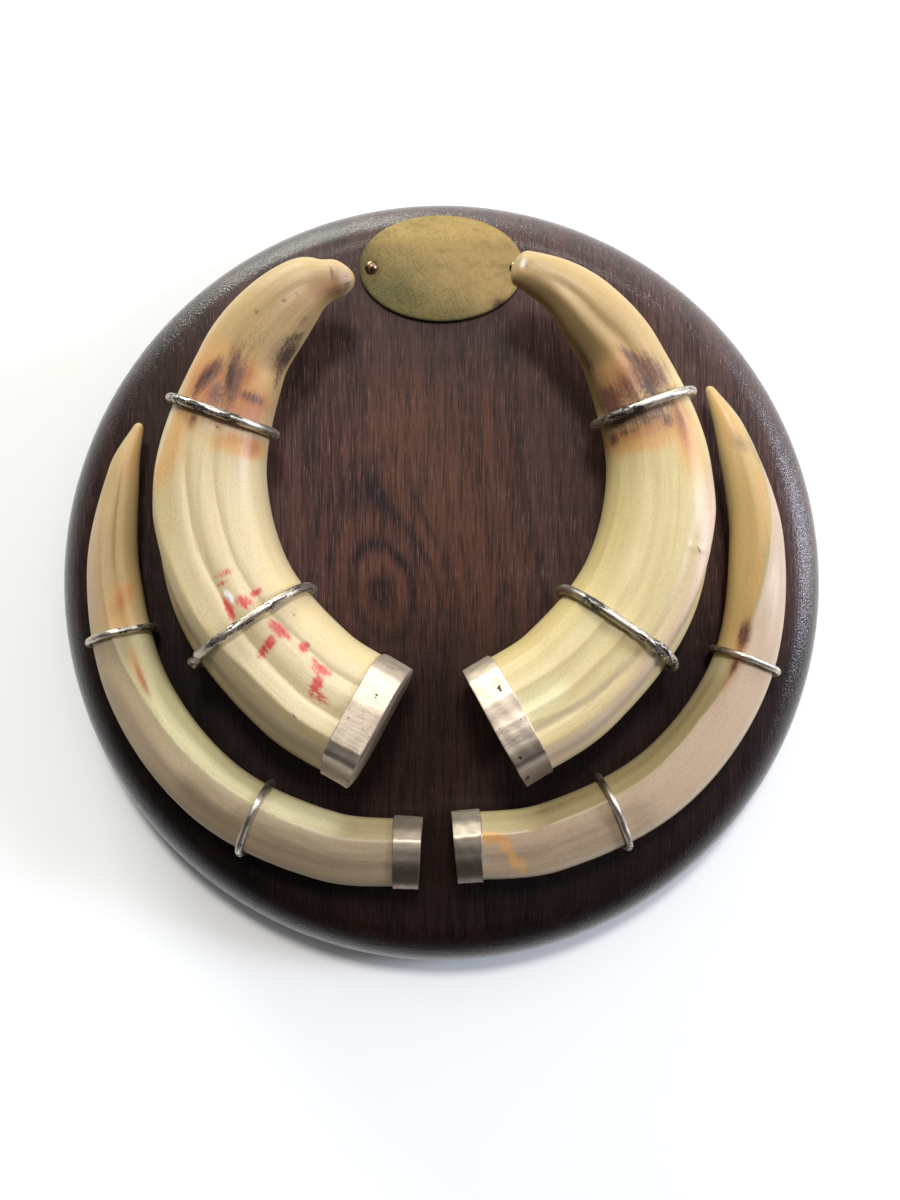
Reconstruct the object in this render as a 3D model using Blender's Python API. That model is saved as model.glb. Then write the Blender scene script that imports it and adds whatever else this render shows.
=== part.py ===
"""Four warthog tusks on a round wooden plaque.

Two broad upper tusks and two slim lower tusks lie on the front of a turned board.
Each has a metal cap over its cut end and is held down by two wire straps, whose
legs pass through the board. A bent oval plate is pinned above them.

The board lies on its back. The origin is at the middle of the back face, +Z points
out of the front and +Y towards the plate.
"""

import math
from dataclasses import dataclass

import bmesh
import bpy
from mathutils import Vector

MM = 0.001  # every length below is in millimetres
GAP = 0.3  # air left between pieces that touch

# Board
BOARD_RADIUS = 130.0
BOARD_THICKNESS = 24.0
BOARD_EDGE_WIDTH = 15.0  # rounding of the front edge, across
BOARD_EDGE_DROP = 12.0  # and down
BOARD_BACK_ROUNDING = 5.0
BOARD_SIDES = 64
BOARD_EDGE_STEPS = 6
BOARD_BACK_STEPS = 3

# Oval plate
PLATE_WIDTH = 55.0
PLATE_HEIGHT = 36.0
PLATE_THICKNESS = 1.0
PLATE_CENTRE_Y = 105.2
PLATE_AIR = 0.45  # room for the facets of the board under the bend
PLATE_BEND_START = 8.0  # above the plate's centre, from where it bends back
PLATE_BEND_RADIUS = 34.0
PLATE_ROWS = 14

# Pins of the plate
PIN_PLACES = (("plate_pin_left", -23.4), ("plate_pin_right", 24.8))
PIN_HEAD_RADIUS = 2.1
PIN_HEAD_HEIGHT = 1.4
PIN_SHANK_RADIUS = 0.8
PIN_SHANK_LENGTH = 8.0
PIN_SIDES = 10
PIN_HEAD_STEPS = 3

# Caps and straps
CAP_WALL = 0.6
CAP_END_WALL = 0.8
CAP_EDGE = 0.5  # chamfer round the closed end
WIRE_SIDES = 8
WIRE_END_ABOVE_BACK = 1.0
WIRE_ARCH_STEPS = 14
WIRE_AIR = 0.45  # to the skin, with room for the facets
STRAP_TUCK = 55  # most degrees below the widest line to which a strap hugs the tusk
STRAP_BRIDGE = (-18, -12, -6, 6, 12, 18)  # degrees over which a taut strap bridges a groove
TWIST_FROM = 0.72  # share of the way across from which two strands are twisted together
TWIST_TO = 0.94
TWIST_THICKENING = 1.35  # against one strand
HOLE_AIR = 0.4
CUT_MARGIN = 1.0  # by which a cutter stands out of what it cuts

# Sections of a tusk
UPPER_TOP_POINTS = 20  # points over the upper half of a section
UPPER_UNDER_POINTS = 8
LOWER_TOP_POINTS = 15
LOWER_UNDER_POINTS = 6
TOP_FROM = -10.0  # degrees: 0 is the outer side, 90 the top, 180 the inner side
TOP_TO = 190.0
RIDGE_FADE = 0.07  # share of the length over which a ridge or groove fades in
DIRECTION_STEP = 0.01  # share of the length to either side from which the direction is taken
TIP_RING_TURNS = (35.0, 65.0)  # degrees up the rounding of the tip


@dataclass
class Ridge:
    """A lengthwise ridge, or a groove where the height is negative."""

    height: float
    spread: float  # degrees
    course: tuple  # (share of the length from the butt, angle in degrees), in order


@dataclass
class Wire:
    """A strap over a tusk, from its inner leg to its outer leg."""

    name: str
    inner_share: float
    outer_share: float
    lean: float  # share by which its crown lies nearer the tip
    diameter: float
    tuck: float  # how far its legs bend in under the tusk before they enter the board
    twisted: bool = False


@dataclass
class Tusk:
    """A tusk as stations from its butt to its tip: x, y, air below, width, depth."""

    name: str
    side: int  # -1 on the left, 1 on the right
    stations: tuple
    squareness: tuple  # exponent of the section at the butt and at the tip
    tip_rounding: float
    top_points: int
    under_points: int
    rings: int  # between the cap and the rounding of the tip
    ridges: tuple
    cap_length: float
    wires: tuple


TUSKS = (
    Tusk(
        name="upper_tusk_left",
        side=-1,
        stations=(
            (-19.0, -46.5, 6.5, 40.5, 33.0),
            (-43.0, -32.0, 2.2, 41.0, 34.0),
            (-66.5, -3.0, 0.6, 39.5, 34.0),
            (-73.6, 33.5, 1.5, 35.0, 31.0),
            (-63.0, 69.0, 8.5, 27.5, 24.0),
            (-52.0, 83.5, 14.5, 24.0, 20.0),
            (-42.0, 91.0, 18.0, 19.5, 16.5),
            (-27.0, 94.8, 21.5, 11.5, 10.5),
        ),
        squareness=(2.7, 2.2),
        tip_rounding=4.0,
        top_points=UPPER_TOP_POINTS,
        under_points=UPPER_UNDER_POINTS,
        rings=17,
        ridges=(
            Ridge(1.3, 11.0, ((-0.1, 64.0), (0.3, 52.0), (0.55, 28.0))),
            Ridge(-2.6, 13.0, ((-0.1, 38.0), (0.3, 30.0), (0.5, 10.0))),
            Ridge(-1.0, 8.0, ((-0.1, 80.0), (0.35, 72.0), (0.68, 62.0))),
            Ridge(-1.1, 8.0, ((-0.1, 106.0), (0.4, 100.0), (0.75, 92.0))),
            Ridge(-0.9, 10.0, ((0.66, 78.0), (0.95, 96.0))),
        ),
        cap_length=9.8,
        wires=(
            Wire("strap_upper_left_low", 0.264, 0.286, 0.010, 3.0, 0.5, twisted=True),
            Wire("strap_upper_left_high", 0.652, 0.652, 0.010, 3.0, 2.0),
        ),
    ),
    Tusk(
        name="upper_tusk_right",
        side=1,
        stations=(
            (17.0, -46.7, 3.8, 40.0, 33.0),
            (41.0, -31.5, 1.4, 40.0, 34.0),
            (64.0, -1.5, 0.6, 38.2, 33.0),
            (69.7, 35.5, 1.5, 33.0, 30.0),
            (57.5, 71.0, 8.5, 25.2, 22.5),
            (46.0, 85.3, 14.5, 21.0, 18.5),
            (36.5, 93.0, 18.0, 16.0, 14.5),
            (22.5, 99.0, 21.5, 10.0, 9.5),
        ),
        squareness=(2.7, 2.2),
        tip_rounding=3.0,
        top_points=UPPER_TOP_POINTS,
        under_points=UPPER_UNDER_POINTS,
        rings=17,
        ridges=(
            Ridge(1.4, 9.0, ((-0.1, 55.0), (0.3, 50.0), (0.55, 25.0))),
            Ridge(-1.2, 7.0, ((-0.1, 68.0), (0.3, 66.0), (0.48, 60.0))),
            Ridge(-2.2, 13.0, ((-0.1, 32.0), (0.3, 28.0), (0.5, 10.0))),
            Ridge(0.8, 8.0, ((-0.1, 84.0), (0.3, 88.0), (0.5, 92.0))),
            Ridge(-0.9, 7.0, ((-0.1, 101.0), (0.4, 104.0), (0.6, 108.0))),
            Ridge(-1.3, 10.0, ((0.62, 60.0), (0.96, 74.0))),
        ),
        cap_length=9.8,
        wires=(
            Wire("strap_upper_right_low", 0.260, 0.272, 0.009, 3.0, 0.5, twisted=True),
            Wire("strap_upper_right_high", 0.664, 0.649, 0.013, 3.0, 2.0),
        ),
    ),
    Tusk(
        name="lower_tusk_left",
        side=-1,
        stations=(
            (-6.7, -88.3, 1.6, 21.5, 19.0),
            (-37.0, -86.0, 1.0, 22.3, 20.0),
            (-73.0, -68.8, 0.6, 22.0, 20.0),
            (-98.0, -37.0, 0.8, 20.4, 18.5),
            (-107.0, 2.0, 2.0, 17.0, 15.5),
            (-103.5, 36.0, 5.5, 9.8, 9.5),
            (-98.5, 52.0, 8.0, 2.6, 2.6),
        ),
        squareness=(2.1, 2.0),
        tip_rounding=1.6,
        top_points=LOWER_TOP_POINTS,
        under_points=LOWER_UNDER_POINTS,
        rings=16,
        ridges=(
            Ridge(1.6, 15.0, ((-0.1, 119.0), (0.27, 110.0), (0.65, 66.0), (0.9, 60.0))),
            Ridge(-1.3, 20.0, ((-0.1, 55.0), (0.3, 50.0), (0.6, 25.0))),
            Ridge(-1.0, 16.0, ((0.62, 96.0), (0.95, 104.0))),
        ),
        cap_length=9.0,
        wires=(
            Wire("strap_lower_left_low", 0.278, 0.262, 0.008, 2.2, 2.5),
            Wire("strap_lower_left_high", 0.652, 0.642, 0.009, 2.2, 2.5),
        ),
    ),
    Tusk(
        name="lower_tusk_right",
        side=1,
        stations=(
            (4.4, -86.4, 1.6, 21.5, 19.0),
            (36.0, -83.0, 1.0, 22.3, 20.0),
            (73.5, -63.5, 0.6, 22.0, 20.0),
            (98.0, -28.7, 0.8, 20.0, 18.0),
            (103.0, 13.5, 2.0, 17.4, 15.5),
            (94.5, 48.5, 5.5, 9.8, 9.5),
            (87.3, 64.0, 8.0, 2.6, 2.6),
        ),
        squareness=(2.1, 2.0),
        tip_rounding=1.6,
        top_points=LOWER_TOP_POINTS,
        under_points=LOWER_UNDER_POINTS,
        rings=16,
        ridges=(
            Ridge(1.6, 14.0, ((-0.1, 119.0), (0.25, 110.0), (0.56, 94.0), (0.75, 52.0), (0.95, 30.0))),
            Ridge(-1.3, 20.0, ((-0.1, 55.0), (0.3, 50.0), (0.5, 40.0))),
            Ridge(-1.4, 18.0, ((0.5, 122.0), (0.95, 84.0))),
        ),
        cap_length=9.0,
        wires=(
            Wire("strap_lower_right_low", 0.254, 0.240, 0.007, 2.2, 2.5),
            Wire("strap_lower_right_high", 0.567, 0.557, 0.007, 2.2, 2.5),
        ),
    ),
)


def clear_scene():
    for obj in list(bpy.data.objects):
        bpy.data.objects.remove(obj, do_unlink=True)


def material(name, colour, roughness, metallic=0.0):
    made = bpy.data.materials.new(name)
    made.use_nodes = True
    shader = made.node_tree.nodes["Principled BSDF"]
    shader.inputs["Base Color"].default_value = (*colour, 1.0)
    shader.inputs["Roughness"].default_value = roughness
    shader.inputs["Metallic"].default_value = metallic
    return made


def add_object(name, mesh_data, surface, sharp_angle=30.0):
    """A named object in the scene from a filled bmesh."""
    bmesh.ops.recalc_face_normals(mesh_data, faces=mesh_data.faces)
    mesh = bpy.data.meshes.new(name)
    mesh_data.to_mesh(mesh)
    mesh_data.free()
    mesh.materials.append(surface)
    mesh.shade_smooth()
    mesh.set_sharp_from_angle(angle=math.radians(sharp_angle))
    obj = bpy.data.objects.new(name, mesh)
    bpy.context.scene.collection.objects.link(obj)
    return obj


def loft(rings):
    """A closed solid through rings of points; a ring of one point is a pole."""
    solid = bmesh.new()
    rows = [[solid.verts.new(Vector(point) * MM) for point in ring] for ring in rings]
    for first, second in zip(rows, rows[1:]):
        count = max(len(first), len(second))
        for index in range(count):
            following = (index + 1) % count
            if len(first) == 1:
                corners = (first[0], second[following], second[index])
            elif len(second) == 1:
                corners = (first[index], first[following], second[0])
            else:
                corners = (first[index], first[following], second[following], second[index])
            solid.faces.new(corners)
    for end in (rows[0], rows[-1]):
        if len(end) > 1:
            solid.faces.new(end)
    return solid


def circle(radius, height, sides, centre=(0.0, 0.0)):
    turns = (2 * math.pi * index / sides for index in range(sides))
    return [
        (centre[0] + radius * math.cos(turn), centre[1] + radius * math.sin(turn), height)
        for turn in turns
    ]


def cut_hole(obj, name, x, y, radius, bottom, top):
    """Bores a vertical hole with a hidden cutter."""
    rings = [circle(radius, height, WIRE_SIDES, (x, y)) for height in (bottom, top)]
    cutter = add_object(name, loft(rings), obj.active_material)
    cutter.hide_render = True
    cutter.display_type = "WIRE"
    bore = obj.modifiers.new(name, "BOOLEAN")
    bore.operation = "DIFFERENCE"
    bore.object = cutter


# ---------------------------------------------------------------- tusk geometry


def mix(first, second, share):
    return first + (second - first) * share


def through(knots, values, at):
    """A smooth curve through values at rising knots, as a cubic between neighbours."""
    last = len(knots) - 1

    def slope(index):
        low = max(index - 1, 0)
        high = min(index + 1, last)
        return (values[high] - values[low]) / (knots[high] - knots[low])

    index = 0
    while index < last - 1 and at > knots[index + 1]:
        index += 1
    width = knots[index + 1] - knots[index]
    t = (at - knots[index]) / width
    return (
        values[index] * (1 + 2 * t) * (1 - t) ** 2
        + slope(index) * width * t * (1 - t) ** 2
        + values[index + 1] * t * t * (3 - 2 * t)
        - slope(index + 1) * width * t * t * (1 - t)
    )


def course_angle(course, share):
    """The angle of a ridge at a share of the length, straight between its points."""
    for (start, first), (end, second) in zip(course, course[1:]):
        if share <= end:
            return mix(first, second, max(0.0, (share - start) / (end - start)))
    return course[-1][1]


def course_strength(course, share):
    """1 along a ridge, falling to 0 beyond its ends."""
    inside = min(share - course[0][0], course[-1][0] - share) / RIDGE_FADE
    t = min(1.0, max(0.0, inside))
    return t * t * (3 - 2 * t)


def knots_of(tusk):
    knots = [0.0]
    for first, second in zip(tusk.stations, tusk.stations[1:]):
        knots.append(knots[-1] + math.dist(first[:2], second[:2]))
    return knots


def centre_of(tusk, share):
    """The middle of a section, with its width and depth there."""
    knots = knots_of(tusk)
    at = share * knots[-1]
    x, y, air, width, depth = (
        through(knots, [station[column] for station in tusk.stations], at) for column in range(5)
    )
    return Vector((x, y, BOARD_THICKNESS + air + depth / 2)), width, depth


def frame_of(tusk, share):
    """The section's middle, its axis towards the tip, its outward and its upward side."""
    before = centre_of(tusk, max(share - DIRECTION_STEP, 0.0))[0]
    after = centre_of(tusk, min(share + DIRECTION_STEP, 1.0))[0]
    along = (after - before).normalized()
    outward = along.cross(Vector((0, 0, 1))).normalized() * tusk.side
    upward = (outward.cross(along) * tusk.side).normalized()
    return centre_of(tusk, share)[0], along, outward, upward


def section_radius(tusk, share, degrees):
    """From the middle of the section to its skin, without the rounding of the tip."""
    _, width, depth = centre_of(tusk, share)
    turn = math.radians(degrees)
    power = mix(tusk.squareness[0], tusk.squareness[1], share)
    radius = (
        abs(math.cos(turn) * 2 / width) ** power + abs(math.sin(turn) * 2 / depth) ** power
    ) ** (-1 / power)
    slimness = min(1.0, width / tusk.stations[0][3])
    for ridge in tusk.ridges:
        away = (degrees - course_angle(ridge.course, share)) / ridge.spread
        strength = course_strength(ridge.course, share)
        radius += ridge.height * slimness * strength * math.exp(-away * away)
    return radius


def tip_factor(tusk, share):
    """Rounds the tip off as a quarter of a circle."""
    left = (1 - share) * knots_of(tusk)[-1] / tusk.tip_rounding
    return math.sqrt(max(0.0, 1 - (1 - min(left, 1.0)) ** 2))


def skin_point(tusk, share, degrees, grow=0.0):
    middle, _, outward, upward = frame_of(tusk, share)
    radius = section_radius(tusk, share, degrees) * tip_factor(tusk, share) + grow
    turn = math.radians(degrees)
    return middle + outward * radius * math.cos(turn) + upward * radius * math.sin(turn)


def section_angles(tusk):
    """Angles round a section, closer together over the top than underneath."""
    top_step = (TOP_TO - TOP_FROM) / tusk.top_points
    under_step = (360 - TOP_TO + TOP_FROM) / tusk.under_points
    top = [TOP_FROM + top_step * index for index in range(tusk.top_points)]
    under = [TOP_TO + under_step * index for index in range(tusk.under_points)]
    return top + under


def section(tusk, share, grow=0.0):
    return [skin_point(tusk, share, degrees, grow) for degrees in section_angles(tusk)]


# ---------------------------------------------------------------------- pieces


def board_profile():
    """Radius and height of the board's edge, from the back to the front."""
    profile = []
    for step in range(BOARD_BACK_STEPS + 1):
        turn = math.pi / 2 * step / BOARD_BACK_STEPS
        radius = BOARD_RADIUS - BOARD_BACK_ROUNDING * (1 - math.sin(turn))
        profile.append((radius, BOARD_BACK_ROUNDING * (1 - math.cos(turn))))
    for step in range(BOARD_EDGE_STEPS + 1):
        turn = math.pi / 2 * step / BOARD_EDGE_STEPS
        radius = BOARD_RADIUS - BOARD_EDGE_WIDTH * (1 - math.cos(turn))
        height = BOARD_THICKNESS - BOARD_EDGE_DROP * (1 - math.sin(turn))
        profile.append((radius, height))
    return profile


def add_board(wood):
    rings = [circle(radius, height, BOARD_SIDES) for radius, height in board_profile()]
    return add_object("board", loft(rings), wood)


def plate_height(y):
    """Height of the plate's underside: flat, then bent back over the board's edge."""
    past_bend = max(0.0, y - PLATE_CENTRE_Y - PLATE_BEND_START)
    return BOARD_THICKNESS + PLATE_AIR - past_bend**2 / (2 * PLATE_BEND_RADIUS)


def add_plate(brass):
    rings = []
    for row in range(PLATE_ROWS):
        turn = math.pi * ((row + 0.5) / PLATE_ROWS - 0.5)
        half = PLATE_WIDTH / 2 * math.cos(turn)
        y = PLATE_CENTRE_Y + PLATE_HEIGHT / 2 * math.sin(turn)
        under = plate_height(y)
        over = under + PLATE_THICKNESS
        rings.append([(-half, y, under), (half, y, under), (half, y, over), (-half, y, over)])
    return add_object("name_plate", loft(rings), brass)


def add_pin(name, x, plate, board, brass):
    seat = BOARD_THICKNESS + PLATE_AIR + PLATE_THICKNESS + GAP
    bottom = seat - PIN_SHANK_LENGTH
    place = (x, PLATE_CENTRE_Y)
    rings = [circle(PIN_SHANK_RADIUS, height, PIN_SIDES, place) for height in (bottom, seat)]
    for step in range(PIN_HEAD_STEPS):
        turn = math.pi / 2 * step / PIN_HEAD_STEPS
        radius = PIN_HEAD_RADIUS * math.cos(turn)
        rings.append(circle(radius, seat + PIN_HEAD_HEIGHT * math.sin(turn), PIN_SIDES, place))
    rings.append([(*place, seat + PIN_HEAD_HEIGHT)])
    add_object(name, loft(rings), brass)
    bore = PIN_SHANK_RADIUS + GAP
    cut_hole(plate, name + "_plate_hole", *place, bore, BOARD_THICKNESS - CUT_MARGIN, seat + CUT_MARGIN)
    cut_hole(board, name + "_board_hole", *place, bore, bottom - GAP, seat)


def add_tusk(tusk, ivory):
    length = knots_of(tusk)[-1]
    start = (CAP_END_WALL + GAP) / length
    mouth = tusk.cap_length / length
    body_end = 1 - tusk.tip_rounding / length
    shares = [start, mouth]
    shares += [mix(mouth, body_end, (ring + 1) / tusk.rings) for ring in range(tusk.rings)]
    shares += [mix(body_end, 1.0, math.sin(math.radians(turn))) for turn in TIP_RING_TURNS]
    rings = [section(tusk, share) for share in shares]
    rings.append([centre_of(tusk, 1.0)[0]])
    add_object(tusk.name, loft(rings), ivory)


def add_cap(tusk, silver):
    """A cup over the cut end: a wall of even thickness with a closed end."""
    length = knots_of(tusk)[-1]
    mouth = (tusk.cap_length - GAP) / length
    edge = CAP_EDGE / length
    floor = CAP_END_WALL / length
    outer = GAP + CAP_WALL
    rings = [
        section(tusk, 0.0, outer - CAP_EDGE),
        section(tusk, edge, outer),
        section(tusk, mouth, outer),
        section(tusk, mouth, GAP),
        section(tusk, floor, GAP),
    ]
    add_object(tusk.name.replace("tusk", "cap"), loft(rings), silver)


def tube(points, radii):
    """A round tube along points, its ring turned to the run at each of them."""
    rings = []
    across = None
    for index, (point, radius) in enumerate(zip(points, radii)):
        before = points[max(index - 1, 0)]
        after = points[min(index + 1, len(points) - 1)]
        along = (after - before).normalized()
        if across is None:
            across = along.orthogonal().normalized()
        across = (across - along * across.dot(along)).normalized()
        side = along.cross(across)
        turns = [2 * math.pi * step / WIRE_SIDES for step in range(WIRE_SIDES)]
        rings.append(
            [point + (across * math.cos(turn) + side * math.sin(turn)) * radius for turn in turns]
        )
    return loft(rings)


def strap_rise(tusk, share, degrees):
    """How far a taut strap stands off the skin, where it bridges the grooves."""
    skin = section_radius(tusk, share, degrees)
    reach = max(
        section_radius(tusk, share, degrees + turn) * math.cos(math.radians(turn))
        for turn in STRAP_BRIDGE
    )
    return max(0.0, reach - skin)


def tuck_of(tusk, share, inner, clear):
    """Degrees below the widest line where a strap leaves the tusk and turns down."""
    lowest = BOARD_THICKNESS + clear * 2
    for tuck in range(STRAP_TUCK):
        degrees = 180 + tuck if inner else -tuck
        if skin_point(tusk, share, degrees, clear).z < lowest:
            return tuck
    return STRAP_TUCK


def wire_route(tusk, wire):
    """Points and radii over the tusk, from inner to outer side, with legs through the board."""
    points, radii = [], []
    plain = wire.diameter / 2
    start = 180 + tuck_of(tusk, wire.inner_share, True, plain + WIRE_AIR)
    end = -tuck_of(tusk, wire.outer_share, False, plain + WIRE_AIR)
    for step in range(WIRE_ARCH_STEPS + 1):
        across = step / WIRE_ARCH_STEPS
        share = mix(wire.inner_share, wire.outer_share, across)
        share += wire.lean * math.sin(math.pi * across)
        degrees = mix(start, end, across)
        twisted = wire.twisted and TWIST_FROM <= across <= TWIST_TO
        radii.append(plain * (TWIST_THICKENING if twisted else 1.0))
        clear = WIRE_AIR + radii[-1] + strap_rise(tusk, share, degrees)
        points.append(skin_point(tusk, share, degrees, clear))
    across = (points[-1] - points[0]).normalized() * wire.tuck
    inner, outer = points[0] + across, points[-1] - across
    inner_leg = [Vector((inner.x, inner.y, z)) for z in (WIRE_END_ABOVE_BACK, BOARD_THICKNESS + plain)]
    outer_leg = [Vector((outer.x, outer.y, z)) for z in (BOARD_THICKNESS + plain, WIRE_END_ABOVE_BACK)]
    points = inner_leg + points + outer_leg
    return points, [plain, plain, *radii, plain, plain]


def add_strap(tusk, wire, board, silver):
    points, radii = wire_route(tusk, wire)
    add_object(wire.name, tube(points, radii), silver)
    bore = wire.diameter / 2 + HOLE_AIR
    for leg, foot in (("inner", points[0]), ("outer", points[-1])):
        name = f"{wire.name}_{leg}_hole"
        cut_hole(board, name, foot.x, foot.y, bore, -CUT_MARGIN, BOARD_THICKNESS + CUT_MARGIN)


def build():
    clear_scene()
    wood = material("rosewood", (0.055, 0.022, 0.014), 0.38)
    ivory = material("tusk ivory", (0.78, 0.66, 0.42), 0.36)
    silver = material("tarnished silver", (0.62, 0.57, 0.50), 0.34, 1.0)
    brass = material("brushed brass", (0.52, 0.42, 0.20), 0.36, 1.0)
    board = add_board(wood)
    plate = add_plate(brass)
    for name, x in PIN_PLACES:
        add_pin(name, x, plate, board, brass)
    for tusk in TUSKS:
        add_tusk(tusk, ivory)
        add_cap(tusk, silver)
        for wire in tusk.wires:
            add_strap(tusk, wire, board, silver)


build()
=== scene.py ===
"""Looks of four warthog tusks on a round wooden plaque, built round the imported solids."""

import math
from dataclasses import dataclass

import bmesh
import bpy
import numpy as np
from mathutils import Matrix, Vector


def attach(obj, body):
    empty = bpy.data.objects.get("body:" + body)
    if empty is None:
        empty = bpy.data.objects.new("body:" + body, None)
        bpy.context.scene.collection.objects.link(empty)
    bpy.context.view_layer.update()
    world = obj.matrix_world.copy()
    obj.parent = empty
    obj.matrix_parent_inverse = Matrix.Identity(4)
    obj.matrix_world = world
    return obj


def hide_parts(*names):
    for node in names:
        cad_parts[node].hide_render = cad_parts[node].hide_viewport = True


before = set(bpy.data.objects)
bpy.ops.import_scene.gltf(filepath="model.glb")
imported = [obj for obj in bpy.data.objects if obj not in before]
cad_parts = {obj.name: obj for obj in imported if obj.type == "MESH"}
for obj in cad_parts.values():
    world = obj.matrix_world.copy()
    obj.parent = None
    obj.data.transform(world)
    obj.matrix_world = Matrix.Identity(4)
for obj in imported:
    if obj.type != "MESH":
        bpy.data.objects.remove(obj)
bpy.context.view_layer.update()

MM = 0.001  # every length below is in millimetres
GAP = 0.3
SEED = 7
SHARP_ANGLE = math.radians(40)
EASE = 0.3  # where the middle of a small rounded edge lies, as a share of the rounding

# Board
BOARD_RADIUS = 130.0
BOARD_THICKNESS = 24.0
BOARD_EDGE_WIDTH = 15.0
BOARD_EDGE_DROP = 12.0
BOARD_BACK_ROUNDING = 5.0
BOARD_SIDES = 256
BOARD_EDGE_STEPS = 20
BOARD_BACK_STEPS = 8
BOARD_FACE_RINGS = 10

# Oval plate
PLATE_WIDTH = 55.0
PLATE_HEIGHT = 36.0
PLATE_THICKNESS = 1.0
PLATE_CENTRE_Y = 105.2
PLATE_AIR = 0.45
PLATE_BEND_START = 8.0
PLATE_BEND_RADIUS = 34.0
PLATE_SIDES = 144
PLATE_RINGS = 24
PLATE_BEVEL = 0.25

# Pins of the plate
PIN_PLACES = (("plate_pin_left", -23.4), ("plate_pin_right", 24.8))
PIN_HEAD_RADIUS = 2.1
PIN_HEAD_HEIGHT = 1.4
PIN_SHANK_RADIUS = 0.8
PIN_SHANK_LENGTH = 8.0
PIN_SIDES = 32
PIN_HEAD_STEPS = 10

# Caps
CAP_WALL = 0.6
CAP_END_WALL = 0.8
CAP_EDGE = 0.2
CAP_RINGS = 22
CAP_DENT = 0.07
CAP_DENT_WAVES = ((5, 0.9), (2, 0.5))  # waves round a cap, and radians they shift per millimetre
CAP_MOUTH_WAVE = 0.18
CAP_MOUTH_WAVES = (3, 7)  # broad and fine waves round a cap's mouth
CAP_MOUTH_FINE = 0.6  # height of the fine waves, where the broad ones have 1
CAP_MOUTH_POWER = 4  # with which both grow towards the mouth
HULL_STEP = 0.5  # degrees
HULL_LEAN = 0.2

# Straps
WIRE_SIDES = 20
WIRE_END_ABOVE_BACK = 1.0
WIRE_ARCH_STEPS = 120
WIRE_LEG_STEPS = 8
WIRE_AIR = 0.15
WIRE_SMOOTHING = 6
LIFT_SMOOTHING = 12
STRAP_TUCK = 55  # degrees that a strap reaches under its tusk at most
STRAP_BRIDGE = (-18, -12, -6, 6, 12, 18)
TWIST_PARTING = 0.05
TWIST_TURNS = 5.5  # for a strap that is twisted all the way
TWIST_RADIUS = 1.08
TWIST_OFFSET = 0.85
TWIST_BLACK = 0.56
WIRE_WEAR = 0.03
WIRE_WEAR_WAVES = (31.0, 13.0)
BLACK_FADE = 0.05
HOLE_AIR = 0.4
HOLE_SIDES = 24
HOLE_ENDS = (-2.0, BOARD_THICKNESS + 6.0)

# Sections of a tusk
DIRECTION_STEP = 0.01
RIDGE_FADE = 0.07
TIP_RINGS = 14
FLUTE_COUNT = 90
FLUTE_STARTS = (-0.3, 0.75)  # shares of the length
FLUTE_REACHES = (0.25, 0.8)
FLUTE_ANGLES = (-60, 240)  # degrees, as are the next two
FLUTE_DRIFT = 5
FLUTE_SPREADS = (0.9, 3.0)


@dataclass
class Ridge:
    """A lengthwise ridge, or a groove where the height is negative."""

    height: float
    spread: float  # degrees
    course: tuple  # (share of the length from the butt, angle in degrees), in order
    keenness: float = 2.0  # 2 is round, 1 comes to an edge


@dataclass
class Lump:
    """A rounded lump on the skin, or a dent where the height is negative."""

    height: float
    share: float
    degrees: float
    length: float  # millimetres along the tusk
    width: float  # millimetres round the tusk


@dataclass
class Band:
    """A lengthwise band of a pigment."""

    strength: float
    spread: float  # degrees
    course: tuple
    keenness: float = 2.0  # the higher, the crisper its edges


@dataclass
class Stain:
    """An oval patch of a pigment."""

    strength: float
    share: float
    degrees: float
    length: float  # millimetres along the tusk
    width: float  # millimetres round the tusk
    turn: float = 0.0  # degrees, from the tusk's length towards rising angles


@dataclass
class Wire:
    """A strap over a tusk, from its inner leg to its outer leg."""

    name: str
    inner_share: float
    outer_share: float
    lean: float
    diameter: float
    tuck: float
    blackened: tuple = ()  # (from, to, strength), as shares of the way across
    twist_from: float = 1.0  # share of the way across from which it is two twisted strands


@dataclass
class Cap:
    """A cup of silver sheet over the butt of a tusk."""

    length: float
    waves: float  # 0 lies taut over the ridges, 1 follows them
    tarnish: tuple  # degrees, spread and strength of dark stripes
    spots: tuple = ()  # millimetres from the end, degrees, length, width and strength
    slant: float = 0.0  # how much further the end reaches at the top
    skew: float = 0.0  # how much further it reaches at the outer side


@dataclass
class Tusk:
    """A tusk as stations from its butt to its tip: x, y, air below, width, depth."""

    name: str
    side: int  # -1 on the left, 1 on the right
    stations: tuple
    squareness: tuple
    tip_rounding: float
    rings: int
    points: int
    ridges: tuple
    flutes: float  # height of the fine lengthwise flutes
    lumps: tuple
    marks: dict  # bands and stains of each pigment
    cream: tuple  # the bare ivory's colour
    bars: float  # strength of faint bands across the tusk
    gloss: float  # roughness
    cap: Cap
    wires: tuple


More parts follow.
